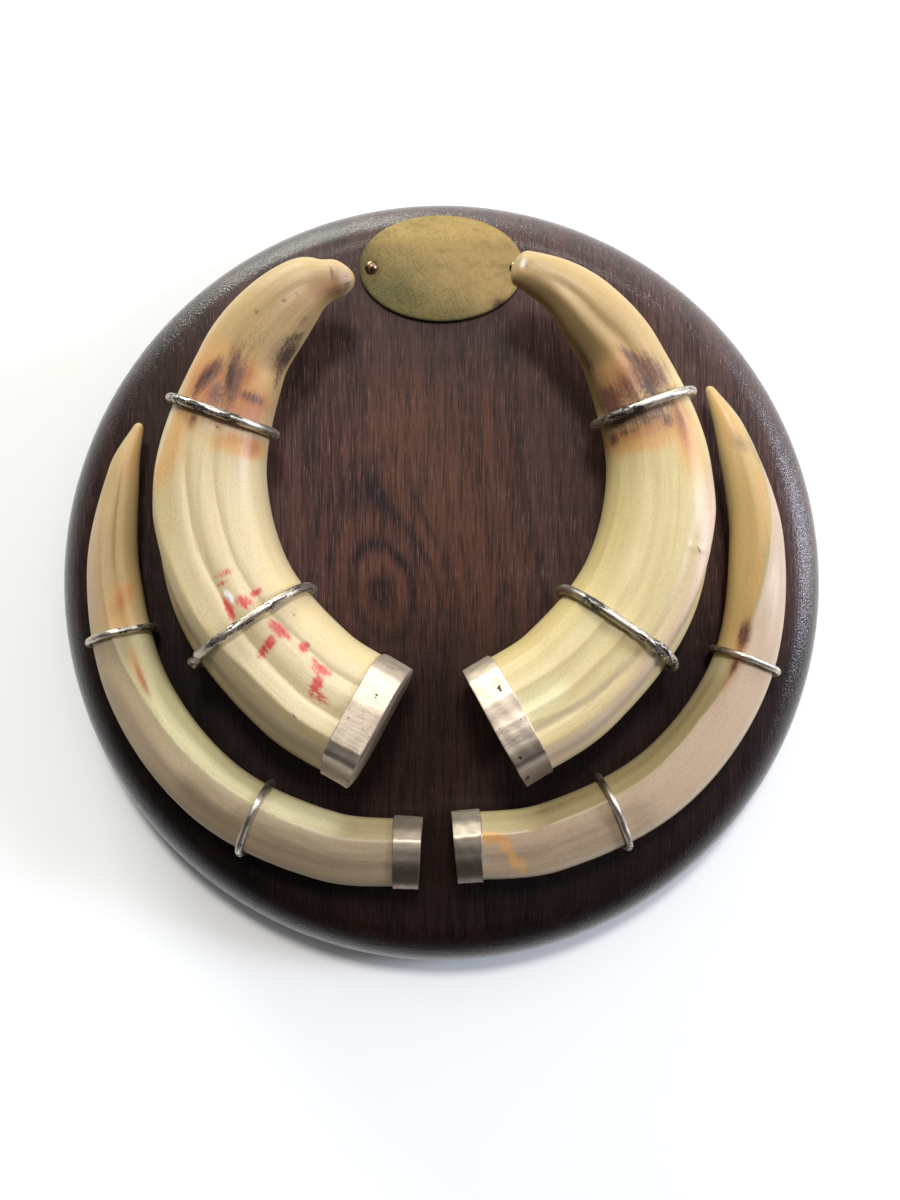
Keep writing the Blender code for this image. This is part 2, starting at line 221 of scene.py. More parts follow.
UPPER_LEFT_RIDGES = (
    Ridge(1.3, 9, ((-0.1, 66), (0.22, 66), (0.31, 58), (0.4, 52), (0.5, 40), (0.6, 30)), 1.3),
    Ridge(-1.6, 14, ((-0.1, 36), (0.3, 30), (0.5, 10))),
    Ridge(-0.45, 7, ((-0.1, 86), (0.35, 87), (0.42, 80), (0.51, 75), (0.6, 67), (0.7, 62))),
    Ridge(-0.22, 2.2, ((-0.1, 83), (0.35, 85), (0.42, 79), (0.51, 74), (0.6, 67)), 1.3),
    Ridge(-0.6, 8, ((-0.1, 122), (0.21, 121), (0.31, 116), (0.43, 110), (0.5, 106), (0.75, 92))),
    Ridge(-0.3, 2.2, ((-0.1, 124), (0.21, 122), (0.31, 117), (0.43, 110), (0.5, 106), (0.62, 100)), 1.3),
    Ridge(0.3, 4, ((-0.1, 142), (0.2, 142), (0.45, 138)), 1.3),
    Ridge(-0.8, 12, ((0.66, 78), (0.95, 96))),
)
UPPER_LEFT_MARKS = {
    "tan": [Band(0.85, 200, ((0.64, 90), (1.1, 90)))],
    "olive": [
        # olive tone with painted shade in the two grooves
        Band(0.5, 3, ((-0.1, 124), (0.2, 123), (0.31, 117), (0.46, 109))),
        Band(0.35, 3, ((-0.1, 84), (0.35, 86), (0.46, 77))),
    ],
    "brown": [
        # painted shade with brown stain on the inner flank towards the tip
        Band(0.62, 26, ((0.72, 158), (0.9, 150), (1.02, 142))),
        Band(0.55, 60, ((0.8, 98), (0.92, 98), (1.1, 98))),
        # painted shade on the outer side face below the crease
        Band(0.7, 26, ((-0.1, 34), (0.28, 30), (0.4, 12))),
        Stain(1, 0.955, 108, 9, 4.5),
    ],
    "rose": [Band(0.35, 22, ((0.5, 130), (0.66, 130), (0.9, 130))), Stain(0.45, 0.985, 100, 4, 7)],
    "dun": [Stain(0.6, 0.01, 112, 9, 11)],
    "amber": [
        Band(0.8, 17, ((0.49, 34), (0.57, 48), (0.64, 50), (0.72, 42))),
        Band(0.4, 60, ((0.62, 100), (0.8, 110))),
        Stain(1.1, 0.72, 88, 11, 11),
        Stain(0.8, 0.69, 100, 5, 9),
        Stain(1.1, 0.615, 136, 4.5, 8.5),
    ],
    "rust": [
        Band(0.5, 34, ((0.64, 78), (0.78, 86))),
        Stain(1.1, 0.672, 104, 6, 12),
        Stain(1.15, 0.7, 78, 7.5, 6.5),
        Stain(1.05, 0.728, 112, 8.5, 2.2, 6),
        Stain(1, 0.696, 128, 5.5, 6),
        Stain(0.5, 0.945, 125, 12, 4),
        Stain(1, 0.636, 67, 3.2, 1.5),
        Stain(1.15, 0.622, 146, 5, 2.4),
        Stain(0.6, 0.628, 128, 3, 4),
    ],
    "chalk": [Stain(1.1, 0.335, 93, 2.8, 1, -8)],
    "umber": [
        Stain(1.15, 0.713, 65, 8, 1.9, 10),
        Stain(1.3, 0.728, 97, 11, 2.2, -8),
        Stain(0.95, 0.69, 90, 5, 3.4),
        Stain(0.8, 0.705, 126, 2.2, 4.4),
        Stain(0.55, 0.745, 108, 7, 1.6),
        Stain(0.95, 0.812, 158, 7, 3.4),
        Stain(0.6, 0.975, 150, 5, 3),
        Stain(0.7, 0.641, 68, 1.6, 1),
        Stain(0.75, 0.965, 76, 0.6, 2.6),
        Stain(0.75, 0.97, 140, 6, 2),
    ],
    "soot": [
        Stain(0.85, 0.712, 64, 6, 1.2, 10),
        Stain(0.95, 0.722, 94, 8.5, 1.5, -8),
        Stain(1.15, 0.815, 159, 7, 2.6),
        Stain(1, 0.845, 152, 5.5, 1.7, 25),
        Stain(0.85, 0.765, 162, 10, 1.8),
        Stain(0.6, 0.885, 146, 11, 2),
        Stain(0.52, 0.8, 104, 24, 6),
        Stain(0.8, 0.639, 100, 0.9, 1.8, 20),
        Stain(1.1, 0.9, 106, 0.9, 0.7),
        Stain(1, 0.879, 98, 1.2, 0.6, 20),
        Stain(0.9, 0.839, 77, 0.7, 0.8),
        Stain(1, 0.986, 132, 1.6, 1.6),
        Stain(0.7, 0.985, 100, 2, 3),
        Stain(0.9, 0.241, 134, 0.6, 0.9),
        Stain(0.95, 0.12, 66, 2.2, 0.5),
    ],
    "ink": [
        Stain(1, 0.316, 86, 5, 1.5, 10),
        Stain(1, 0.314, 103, 3.4, 2.2, -24),
        Stain(0.85, 0.318, 119, 1.6, 2.2),
        Stain(0.65, 0.375, 98, 1.8, 3.4),
        Stain(0.6, 0.36, 92, 1.2, 3),
        Stain(1.05, 0.237, 114, 5.4, 2, -8),
        Stain(1, 0.23, 97, 1.9, 6, -10),
        Stain(0.8, 0.226, 86, 2, 2),
        Stain(1.05, 0.184, 121, 2.2, 1.9),
        Stain(1.05, 0.128, 117, 5.4, 2.3, -10),
        Stain(1, 0.116, 101, 2.6, 5, -12),
        Stain(0.9, 0.1, 95, 4.5, 1.8, 8),
        Stain(0.8, 0.15, 119, 2.5, 1.6),
    ],
}

UPPER_RIGHT_RIDGES = (
    Ridge(1.2, 9, ((-0.1, 57), (0.1, 56), (0.3, 50), (0.55, 25)), 1.4),
    Ridge(-0.6, 5, ((-0.1, 72), (0.1, 71), (0.21, 64), (0.3, 60), (0.48, 56)), 1.6),
    Ridge(-1.6, 13, ((-0.1, 32), (0.3, 28), (0.5, 10))),
    Ridge(0.22, 3, ((-0.1, 84), (0.06, 82), (0.1, 78), (0.16, 72), (0.3, 68)), 1.5),
    Ridge(0.28, 3.5, ((-0.1, 94), (0.1, 92), (0.3, 86), (0.5, 84)), 1.4),
    Ridge(-0.35, 8, ((-0.1, 104), (0.4, 104), (0.6, 108))),
    Ridge(0.28, 3, ((-0.1, 117), (0.1, 118), (0.2, 113), (0.4, 112)), 1.5),
    Ridge(0.3, 3, ((-0.1, 144), (0.2, 142), (0.4, 146), (0.6, 142)), 1.3),
    Ridge(-1.2, 12, ((0.62, 66), (0.75, 84), (0.84, 98), (0.96, 100))),
    Ridge(0.5, 10, ((0.62, 96), (0.75, 108), (0.84, 122), (0.96, 124))),
)
UPPER_RIGHT_MARKS = {
    # painted highlight: a pale bright band along the crest next to the cap
    "straw": [Band(1.1, 13, ((-0.2, 100), (0.05, 98), (0.17, 95)))],
    "tan": [Band(0.85, 200, ((0.66, 90), (1.1, 90)))],
    "olive": [
        # olive tone, the first band with painted shade in its groove
        Band(0.35, 6, ((-0.1, 104), (0.3, 104), (0.5, 100))),
        Band(0.3, 8, ((0.2, 128), (0.45, 128))),
    ],
    "brown": [
        # painted shade with brown stain on the inner flank towards the tip
        Band(0.9, 36, ((0.68, 146), (0.85, 146), (1.02, 140))),
        Band(0.32, 60, ((0.86, 90), (1.1, 90))),
        Band(0.4, 16, ((0.76, 92), (0.86, 104), (0.95, 116))),
    ],
    "rose": [
        Band(0.8, 22, ((-0.1, 36), (0.26, 40), (0.36, 44), (0.5, 34), (0.6, 20))),
        Band(0.5, 6, ((-0.1, 74), (0.1, 73), (0.21, 66), (0.3, 60))),
        Band(0.5, 14, ((0.86, 84), (0.96, 96))),
    ],
    "amber": [
        Band(0.8, 16, ((0.5, 42), (0.6, 54), (0.72, 52))),
        Band(0.3, 14, ((0.36, 112), (0.5, 116), (0.62, 116))),
        Stain(0.6, 0.735, 112, 12, 7),
        Stain(1.2, 0.616, 108, 5, 14),
        Stain(1.2, 0.595, 58, 12, 3.4),
    ],
    "rust": [
        Band(0.55, 50, ((0.62, 110), (0.76, 116))),
        Stain(0.85, 0.708, 108, 10, 9),
        Stain(0.75, 0.632, 106, 3.6, 13),
        Stain(0.95, 0.618, 62, 9, 1.6),
    ],
    "chalk": [Stain(0.6, 0.985, 86, 1.5, 3)],
    "umber": [
        Stain(0.62, 0.7, 120, 7, 9),
        Stain(1.1, 0.712, 76, 8.5, 5, 8),
        Stain(1.15, 0.742, 84, 8, 1.6, 16),
        Stain(0.85, 0.703, 110, 7, 4.6),
        Stain(1.1, 0.695, 142, 7, 5),
        Stain(1.2, 0.659, 112, 3.6, 12),
        Stain(1, 0.674, 100, 2.2, 11),
        Stain(0.85, 0.645, 98, 2.2, 8),
        Stain(0.95, 0.634, 76, 3, 1.8),
        Stain(1.1, 0.632, 150, 3.6, 1.8),
        Stain(0.8, 0.636, 128, 1.5, 4),
        Stain(0.6, 0.628, 60, 5, 1.2),
        Stain(0.5, 0.17, 66, 12, 1),
    ],
    "soot": [
        Stain(0.85, 0.733, 87, 5, 0.8, 12),
        Stain(0.8, 0.668, 128, 4, 9),
        Stain(0.85, 0.69, 88, 6, 4),
        Stain(0.8, 0.78, 158, 16, 2.4),
        Stain(0.5, 0.86, 136, 14, 3),
        Stain(0.9, 0.978, 92, 0.5, 2, 40),
        Stain(0.9, 0.428, 50, 1.6, 0.4, 30),
    ],
}

LOWER_LEFT_RIDGES = (
    Ridge(
        1.5, 14,
        (
            (-0.1, 119), (0.22, 119), (0.31, 122), (0.41, 116), (0.56, 106), (0.65, 88), (0.78, 80),
            (0.9, 60),
        ),
        1.15,
    ),
    Ridge(-1, 22, ((-0.1, 62), (0.3, 60), (0.6, 40))),
    Ridge(-0.7, 16, ((-0.1, 160), (0.4, 160), (0.6, 145))),
    Ridge(-0.7, 12, ((0.5, 132), (0.7, 122), (0.95, 100))),
    Ridge(-0.3, 4, ((0.72, 116), (0.8, 110), (0.95, 96)), 1.2),
)
LOWER_LEFT_MARKS = {
    "straw": [Band(1, 32, ((0.1, 144), (0.4, 144), (0.62, 138), (0.76, 146)))],
    "tan": [Band(0.7, 200, ((0.62, 90), (1.1, 90)))],
    "olive": [
        # olive tone, with painted shade in the inner groove and on the outer flank
        Band(0.4, 24, ((0.15, 160), (0.6, 150))),
        Band(0.6, 16, ((-0.1, 24), (0.3, 20), (0.6, 0))),
        Band(0.5, 5, ((-0.1, 104), (0.3, 106), (0.5, 98), (0.62, 84))),
    ],
    "brown": [
        # painted shade on the outer, lower flank
        Band(0.55, 20, ((0.4, 8), (0.6, 0), (0.8, -10))),
        Band(0.9, 34, ((-0.1, 30), (0.3, 34), (0.5, 14))),
    ],
    "rose": [Band(0.6, 46, ((-0.1, 76), (0.31, 78), (0.41, 72), (0.56, 60), (0.65, 42), (0.9, 14)), 5)],
    "dun": [Band(0.85, 44, ((-0.1, 72), (0.31, 74), (0.44, 66)), 4), Stain(0.45, 0.12, 134, 22, 6)],
    "amber": [
        Band(0.55, 50, ((0.86, 120), (1.1, 110))),
        Stain(0.85, 0.71, 120, 6.5, 2.4, 12),
        Stain(0.6, 0.675, 112, 6, 3.4),
        Stain(0.6, 0.6, 118, 9, 1.6),
    ],
    "rust": [Stain(0.62, 0.705, 116, 6, 1.8, 14), Stain(1.1, 0.57, 118, 6.5, 0.7)],
    "chalk": [Stain(0.32, 0.06, 60, 9, 6)],
    "umber": [Band(0.36, 3, ((0.74, 114), (0.8, 110), (0.93, 98))), Stain(0.4, 0.16, 156, 12, 3)],
    "soot": [Stain(0.8, 0.105, 146, 0.9, 0.6)],
}

LOWER_RIGHT_RIDGES = (
    Ridge(
        1.6, 12,
        (
            (-0.1, 113), (0.17, 121), (0.45, 124), (0.54, 114), (0.617, 110), (0.663, 97), (0.72, 81),
            (0.84, 50), (0.95, 30),
        ),
        1.25,
    ),
    Ridge(-1, 22, ((-0.1, 64), (0.4, 72), (0.6, 62))),
    Ridge(-0.8, 22, ((0.55, 150), (0.75, 126), (0.95, 96))),
    Ridge(-0.7, 16, ((-0.1, 160), (0.4, 165), (0.6, 160))),
    Ridge(-0.45, 3, ((0.5, 122), (0.58, 117), (0.63, 115), (0.68, 104)), 1.2),
)
LOWER_RIGHT_MARKS = {
    "straw": [Band(0.7, 30, ((0.48, 160), (0.56, 150), (0.64, 140)))],
    "olive": [
        # olive tone, the first band with painted shade in the inner groove
        Band(0.5, 22, ((-0.1, 168), (0.5, 170))),
        Band(0.4, 14, ((0.05, 140), (0.2, 146), (0.35, 150))),
        Band(0.5, 5, ((-0.1, 100), (0.17, 106), (0.45, 108))),
    ],
    # the band is painted shade on the outer flank; the patch is a brown stain
    "brown": [Band(0.6, 26, ((-0.1, 22), (0.3, 20), (0.5, 10))), Stain(0.7, 0.14, 100, 14, 5)],
    "rose": [
        Band(
            0.8, 50,
            (
                (-0.1, 64), (0.17, 72), (0.45, 75), (0.54, 65), (0.617, 61), (0.663, 48), (0.72, 32),
                (0.84, 0), (0.95, -20),
            ),
            12,
        ),
    ],
    "dun": [Band(0.62, 46, ((-0.1, 64), (0.17, 70), (0.34, 70)), 4)],
    "honey": [Band(1, 50, ((0.52, 164), (0.617, 160), (0.72, 131), (0.84, 100), (1.1, 80)), 10)],
    "amber": [
        Band(0.45, 14, ((0.62, 120), (0.75, 90), (0.9, 60))),
        Band(0.5, 60, ((0.86, 110), (1.1, 100))),
        Stain(1.1, 0.052, 114, 6, 1.7, -6),
        Stain(1, 0.076, 100, 2.2, 3.6, 24),
        Stain(1, 0.085, 74, 1.6, 5.5, 12),
        Stain(0.8, 0.098, 50, 1.8, 4.5, 10),
    ],
    "rust": [Stain(1.1, 0.575, 117, 13, 1.1), Stain(0.4, 0.06, 112, 5, 1.2)],
    "chalk": [Stain(0.35, 0.045, 70, 3.5, 5)],
    "umber": [
        Band(0.3, 4, ((0.78, 112), (0.95, 84))),
        Stain(1.3, 0.603, 116, 5, 1.2),
        Stain(1.1, 0.548, 117, 3.4, 0.7),
        Stain(0.55, 0.9, 84, 5, 1.6, 10),
        Stain(0.45, 0.15, 150, 14, 4.5),
    ],
    "soot": [Stain(0.42, 0.05, 148, 2.5, 4)],
}

UPPER = dict(squareness=(2.7, 2.2), rings=300, points=224, bars=0.15, gloss=0.42)
LOWER = dict(squareness=(2.1, 2), rings=280, points=144, tip_rounding=1.6, flutes=0.02, lumps=())

TUSKS = (
    Tusk(
        name="upper_tusk_left",
        side=-1,
        stations=(
            (-19, -46.5, 6.5, 40.5, 33),
            (-43, -32, 2.2, 41, 34),
            (-66.5, -3, 0.6, 39.5, 34),
            (-73.6, 33.5, 1.5, 35, 31),
            (-63, 69, 8.5, 27.5, 24),
            (-52, 83.5, 14.5, 24, 20),
            (-42, 91.3, 18, 18.8, 16),
            (-27, 95.2, 21.5, 9.2, 9),
        ),
        tip_rounding=5.5,
        ridges=UPPER_LEFT_RIDGES,
        flutes=0.022,
        lumps=(
            Lump(0.6, 0.925, 26, 4.5, 4.5),
            Lump(-0.5, 0.952, 32, 1.8, 4),
            Lump(0.3, 0.972, 60, 2.4, 4),
            Lump(-0.35, 0.962, 76, 0.9, 3),
            Lump(-1.7, 0.955, 168, 6.5, 7),
        ),
        marks=UPPER_LEFT_MARKS,
        cream=(0.61, 0.495, 0.305),
        cap=Cap(
            length=9.8,
            waves=0,
            slant=1.1,
            skew=0.7,
            tarnish=((112, 42, 0.36), (52, 5, 0.8), (30, 14, 0.75), (-10, 12, 0.3)),
            spots=((3.9, 120, 0.5, 1.2, 0.85),),
        ),
        wires=(
            Wire("strap_upper_left_low", 0.264, 0.286, 0.01, 3, 0.5, ((0.12, 0.66, 0.48),), 0.68),
            Wire(
                "strap_upper_left_high", 0.652, 0.652, 0.01, 3, 2, ((0.16, 0.3, 0.42), (0.36, 0.72, 0.62)),
            ),
        ),
        **UPPER,
    ),
    Tusk(
        name="upper_tusk_right",
        side=1,
        stations=(
            (17, -46.7, 3.8, 40, 33),
            (41, -31.5, 1.4, 40, 34),
            (64, -1.5, 0.6, 38.2, 33),
            (69.7, 35.5, 1.5, 33, 30),
            (57.5, 71, 8.5, 25.2, 22.5),
            (46, 85.3, 14.5, 21, 18.5),
            (36.5, 93, 18, 16, 14.5),
            (22.5, 99, 21.5, 10, 9.5),
        ),
        tip_rounding=3,
        ridges=UPPER_RIGHT_RIDGES,
        flutes=0.03,
        lumps=(
            Lump(-0.5, 0.985, 84, 2, 3),
            Lump(0.3, 0.965, 60, 3, 3),
            Lump(0.25, 0.972, 120, 2, 3),
            Lump(0.25, 0.43, 50, 1, 2.5),
        ),
        marks=UPPER_RIGHT_MARKS,
        cream=(0.62, 0.505, 0.268),
        cap=Cap(
            length=9.8,
            waves=0.35,
            slant=1.2,
            skew=0.9,
            tarnish=((60, 10, 1), (22, 34, 0.85), (104, 8, 0.4), (134, 8, 0.3)),
            spots=((6.6, 125, 0.5, 1.7, 0.95), (2.4, 60, 0.7, 1, 0.9), (1.6, 30, 0.7, 1.5, 0.95)),
        ),
        wires=(
            Wire("strap_upper_right_low", 0.26, 0.272, 0.009, 3, 0.5, ((0.3, 0.44, 0.66),), 0.53),
            Wire(
                "strap_upper_right_high", 0.664, 0.649, 0.013, 3, 2,
                ((0.26, 0.5, 0.62), (0.55, 0.78, 0.36)),
            ),
        ),
        **UPPER,
    ),
    Tusk(
        name="lower_tusk_left",
        side=-1,
        stations=(
            (-6.7, -88.3, 1.6, 21.5, 19),
            (-37, -86, 1, 22.3, 20),
            (-73, -68.8, 0.6, 22, 20),
            (-98, -37, 0.8, 20.4, 18.5),
            (-107, 2, 2, 17, 15.5),
            (-103.5, 36, 5.5, 9.8, 9.5),
            (-98.5, 52, 8, 2.6, 2.6),
        ),
        ridges=LOWER_LEFT_RIDGES,
        marks=LOWER_LEFT_MARKS,
        # darker than the upper tusks' cream: partly its own tone, partly painted shade for the weaker light
        # at the plaque's foot
        cream=(0.42, 0.352, 0.205),
        bars=0.35,
        gloss=0.5,
        cap=Cap(
            length=9,
            waves=0.3,
            tarnish=((100, 12, 0.6), (55, 34, 1.1), (10, 20, 0.9), (150, 30, 0.35)),
        ),
        wires=(
            Wire("strap_lower_left_low", 0.278, 0.262, 0.008, 2.2, 2.5, ((0.6, 1, 0.5),)),
            Wire("strap_lower_left_high", 0.652, 0.642, 0.009, 2.2, 2.5, ((0.1, 0.5, 0.5), (0.7, 1, 0.6))),
        ),
        **LOWER,
    ),
    Tusk(
        name="lower_tusk_right",
        side=1,
        stations=(
            (4.4, -86.4, 1.6, 21.5, 19),
            (36, -83, 1, 22.3, 20),
            (73.5, -63.5, 0.6, 22, 20),
            (98, -28.7, 0.8, 20, 18),
            (103, 13.5, 2, 17.4, 15.5),
            (94.5, 48.5, 5.5, 9.8, 9.5),
            (87.3, 64, 8, 2.6, 2.6),
        ),
        ridges=LOWER_RIGHT_RIDGES,
        marks=LOWER_RIGHT_MARKS,
        # darker than the upper tusks' cream: partly its own tone, partly painted shade for the weaker light
        # at the plaque's foot
        cream=(0.43, 0.355, 0.205),
        bars=0.4,
        gloss=0.38,
        cap=Cap(
            length=9,
            waves=0.3,
            tarnish=((94, 12, 0.6), (50, 34, 1.1), (6, 20, 0.9), (145, 30, 0.35)),
        ),
        wires=(
            Wire("strap_lower_right_low", 0.254, 0.24, 0.007, 2.2, 2.5, ((0.62, 0.9, 0.5),)),
            Wire("strap_lower_right_high", 0.567, 0.557, 0.007, 2.2, 2.5, ((0, 0.4, 0.4),)),
        ),
        **LOWER,
    ),
)


# ---------------------------------------------------------------- tusk geometry


def mix(first, second, share):
    return first + (second - first) * share


def smoothstep(t):
    t = np.clip(t, 0.0, 1.0)
    return t * t * (3 - 2 * t)


def turned(degrees, centre):
    """Signed angle from a centre, from -180 to 180."""
    return (degrees - centre + 180) % 360 - 180


def knots_of(tusk):
    steps = [math.dist(a[:2], b[:2]) for a, b in zip(tusk.stations, tusk.stations[1:])]
    return np.concatenate([[0.0], np.cumsum(steps)])


def length_of(tusk):
    return knots_of(tusk)[-1]


def through(knots, values, at):
    """A smooth curve through rows of values at rising knots, as a cubic between neighbours."""
    last = len(knots) - 1
    low = np.maximum(np.arange(last + 1) - 1, 0)
    high = np.minimum(np.arange(last + 1) + 1, last)
    slopes = (values[high] - values[low]) / (knots[high] - knots[low])[:, None]
    index = np.clip(np.searchsorted(knots, at, side="left") - 1, 0, last - 1)
    width = (knots[index + 1] - knots[index])[:, None]
    t = (at - knots[index])[:, None] / width
    return (
        values[index] * (1 + 2 * t) * (1 - t) ** 2
        + slopes[index] * width * t * (1 - t) ** 2
        + values[index + 1] * t * t * (3 - 2 * t)
        - slopes[index + 1] * width * t * t * (1 - t)
    )


def centres_of(tusk, shares):
    """Middles of sections, with their widths and depths."""
    knots = knots_of(tusk)
    x, y, air, width, depth = through(knots, np.array(tusk.stations), shares * knots[-1]).T
    return np.stack([x, y, BOARD_THICKNESS + air + depth / 2], axis=-1), width, depth


def unit(vectors):
    return vectors / np.linalg.norm(vectors, axis=-1, keepdims=True)


def frames_of(tusk, shares):
    """Middles of sections, with their outward and their upward sides."""
    near = np.clip(shares, 0.0, 1.0)
    before = centres_of(tusk, np.maximum(near - DIRECTION_STEP, 0.0))[0]
    after = centres_of(tusk, np.minimum(near + DIRECTION_STEP, 1.0))[0]
    along = unit(after - before)
    outward = unit(np.cross(along, (0.0, 0.0, 1.0))) * tusk.side
    upward = unit(np.cross(outward, along)) * tusk.side
    return centres_of(tusk, shares)[0], outward, upward


def course_profile(item, shares, degrees, keenness=2.0):
    """1 along the course of a ridge or band, falling to 0 beside it and at its ends."""
    places, angles = np.array(item.course).T
    strength = smoothstep(np.minimum(shares - places[0], places[-1] - shares) / RIDGE_FADE)
    away = np.abs(turned(degrees, np.interp(shares, places, angles))) / item.spread
    return strength * np.exp(-(away**keenness))


def patch_profile(tusk, item, shares, degrees, turn=0.0):
    """1 in the middle of a stain or lump, falling to 0 round it."""
    along = (shares - item.share) * length_of(tusk)
    radius = np.interp(shares, (0, 1), (tusk.stations[0][3] / 2, tusk.stations[-1][3] / 2))
    across = np.radians(turned(degrees, item.degrees)) * radius
    cos, sin = math.cos(math.radians(turn)), math.sin(math.radians(turn))
    first = (along * cos + across * sin) / item.length
    second = (across * cos - along * sin) / item.width
    return np.exp(-(first**2 + second**2))


def flutes_of(tusk):
    """Fine lengthwise ridges and grooves, the same on every run."""
    random = np.random.default_rng(SEED + len(tusk.name) + tusk.side)
    flutes = []
    for _ in range(FLUTE_COUNT):
        start = random.uniform(*FLUTE_STARTS)
        end = start + random.uniform(*FLUTE_REACHES)
        angle = random.uniform(*FLUTE_ANGLES)
        course = ((start, angle), (end, angle + random.normal(0, FLUTE_DRIFT)))
        height = tusk.flutes * random.uniform(-1, 1)
        flutes.append(Ridge(height, random.uniform(*FLUTE_SPREADS), course))
    return flutes


def section_radii(tusk, shares, degrees, fine=False):
    """From the middles of sections to the skin, without the rounding of the tip."""
    _, width, depth = centres_of(tusk, shares)
    turn = np.radians(degrees)
    power = mix(*tusk.squareness, shares)
    flat = np.abs(np.cos(turn) * 2 / width) ** power + np.abs(np.sin(turn) * 2 / depth) ** power
    radius = flat ** (-1 / power)
    slimness = np.minimum(1.0, width / tusk.stations[0][3])
    for ridge in tusk.ridges:
        radius += ridge.height * slimness * course_profile(ridge, shares, degrees, ridge.keenness)
    if fine:
        for flute in flutes_of(tusk):
            radius += flute.height * course_profile(flute, shares, degrees)
        for lump in tusk.lumps:
            radius += lump.height * patch_profile(tusk, lump, shares, degrees)
    return radius


def tip_factor(tusk, shares):
    left = (1 - shares) * length_of(tusk) / tusk.tip_rounding
    return np.sqrt(np.maximum(0.0, 1 - (1 - np.minimum(left, 1.0)) ** 2))


def at_radius(tusk, shares, degrees, radius):
    middle, outward, upward = frames_of(tusk, shares)
    turn = np.radians(degrees)
    return middle + outward * (radius * np.cos(turn))[:, None] + upward * (radius * np.sin(turn))[:, None]


def skin_points(tusk, shares, degrees, grow=0.0):
    """Points at a distance from the skin, for arrays of shares and degrees of one length."""
    radius = section_radii(tusk, shares, degrees) * tip_factor(tusk, shares) + grow
    return at_radius(tusk, shares, degrees, radius)


def round_degrees(tusk):
    return -90 + 360 * np.arange(tusk.points) / tusk.points


def slanted(tusk, shares, degrees):
    """Shares moved along the tusk so that its end, and the cap's, lie slantwise."""
    turn = np.radians(degrees)
    reach = (tusk.cap.slant * np.sin(turn) + tusk.cap.skew * np.cos(turn)) / length_of(tusk)
    return shares - reach * np.clip(1 - shares * length_of(tusk) / tusk.cap.length, 0.0, 1.0)


# ------------------------------------------------------------------------ meshes


def mesh_object(name, bodies):
    """One object from closed bodies, each with its vertices and faces."""
    points, faces = [], []
    for body_points, body_faces in bodies:
        faces += [tuple(index + len(points) for index in face) for face in body_faces]
        points += (np.asarray(body_points) * MM).tolist()
    mesh = bpy.data.meshes.new(name)
    mesh.from_pydata(points, [], faces)
    solid = bmesh.new()
    solid.from_mesh(mesh)
    bmesh.ops.recalc_face_normals(solid, faces=solid.faces)
    solid.to_mesh(mesh)
    solid.free()
    mesh.shade_smooth()
    mesh.set_sharp_from_angle(angle=SHARP_ANGLE)
    obj = bpy.data.objects.new(name, mesh)
    bpy.context.scene.collection.objects.link(obj)
    return obj


def lofted(grid):
    """Vertices and faces of a closed body through rings; a ring may be a single point."""
    points, rows, faces = [], [], []
    for ring in grid:
        rows.append(range(len(points), len(points) + len(ring)))
        points.extend(ring)
    for first, second in zip(rows, rows[1:]):
        count = max(len(first), len(second))
        for index in range(count):
            after = (index + 1) % count
            if len(first) == 1:
                faces.append((first[0], second[after], second[index]))
            elif len(second) == 1:
                faces.append((first[index], first[after], second[0]))
            else:
                faces.append((first[index], first[after], second[after], second[index]))
    faces += [tuple(end) for end in (rows[0], rows[-1]) if len(end) > 1]
    return np.array(points), faces


def circle(radius, height, sides, centre=(0.0, 0.0)):
    turns = 2 * np.pi * np.arange(sides) / sides
    x, y = centre[0] + radius * np.cos(turns), centre[1] + radius * np.sin(turns)
    return np.stack([x, y, np.full(sides, height)], axis=-1)


def straightened(along, radii, turns):
    """Places of vertices as if their piece were straight."""
    return np.stack(np.broadcast_arrays(along, radii * np.cos(turns), radii * np.sin(turns)), axis=-1)


def dress(obj, node, slot, surface, **attributes):
    """The piece stands for a node, rides with the plaque and gets its material and attributes."""
    for name, values in attributes.items():
        values = np.asarray(values, dtype=np.float32)
        kind, key = ("FLOAT", "value") if values.ndim == 1 else ("FLOAT_VECTOR", "vector")
        obj.data.attributes.new(name, kind, "POINT").data.foreach_set(key, values.ravel())
    obj.data.materials.clear()
    obj.data.materials.append(surface)
    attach(obj, "root")
    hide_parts(node)


# --------------------------------------------------------------------- materials


class Field:
    """A value worked out by nodes; arithmetic with it adds more nodes."""

    def __init__(self, nodes, socket):
        self.nodes = nodes
        self.socket = socket

    def __add__(self, other):
        return self.nodes.math("ADD", self, other)

    def __sub__(self, other):
        return self.nodes.math("SUBTRACT", self, other)

    def __mul__(self, other):
        return self.nodes.math("MULTIPLY", self, other)

    def __truediv__(self, other):
        return self.nodes.math("DIVIDE", self, other)

    def __pow__(self, other):
        return self.nodes.math("POWER", self, other)

    def __abs__(self):
        return self.nodes.math("ABSOLUTE", self)

    def rise(self, low, high, top=1.0):
        """0 at low, top at high and smooth between; low may be the larger one."""
        names = ("Value", "From Min", "From Max", "To Min", "To Max")
        ends = (0.0, top) if low < high else (top, 0.0)
        values = dict(zip(names, (self, min(low, high), max(low, high), *ends)))
        return self.nodes.made("MapRange", values, interpolation_type="SMOOTHSTEP")

    def bell(self, middle, spread):
        """1 at the middle, falling to 0 on both sides."""
        away = (self - middle) / spread
        return self.nodes.math("POWER", math.e, away * away * -1.0)


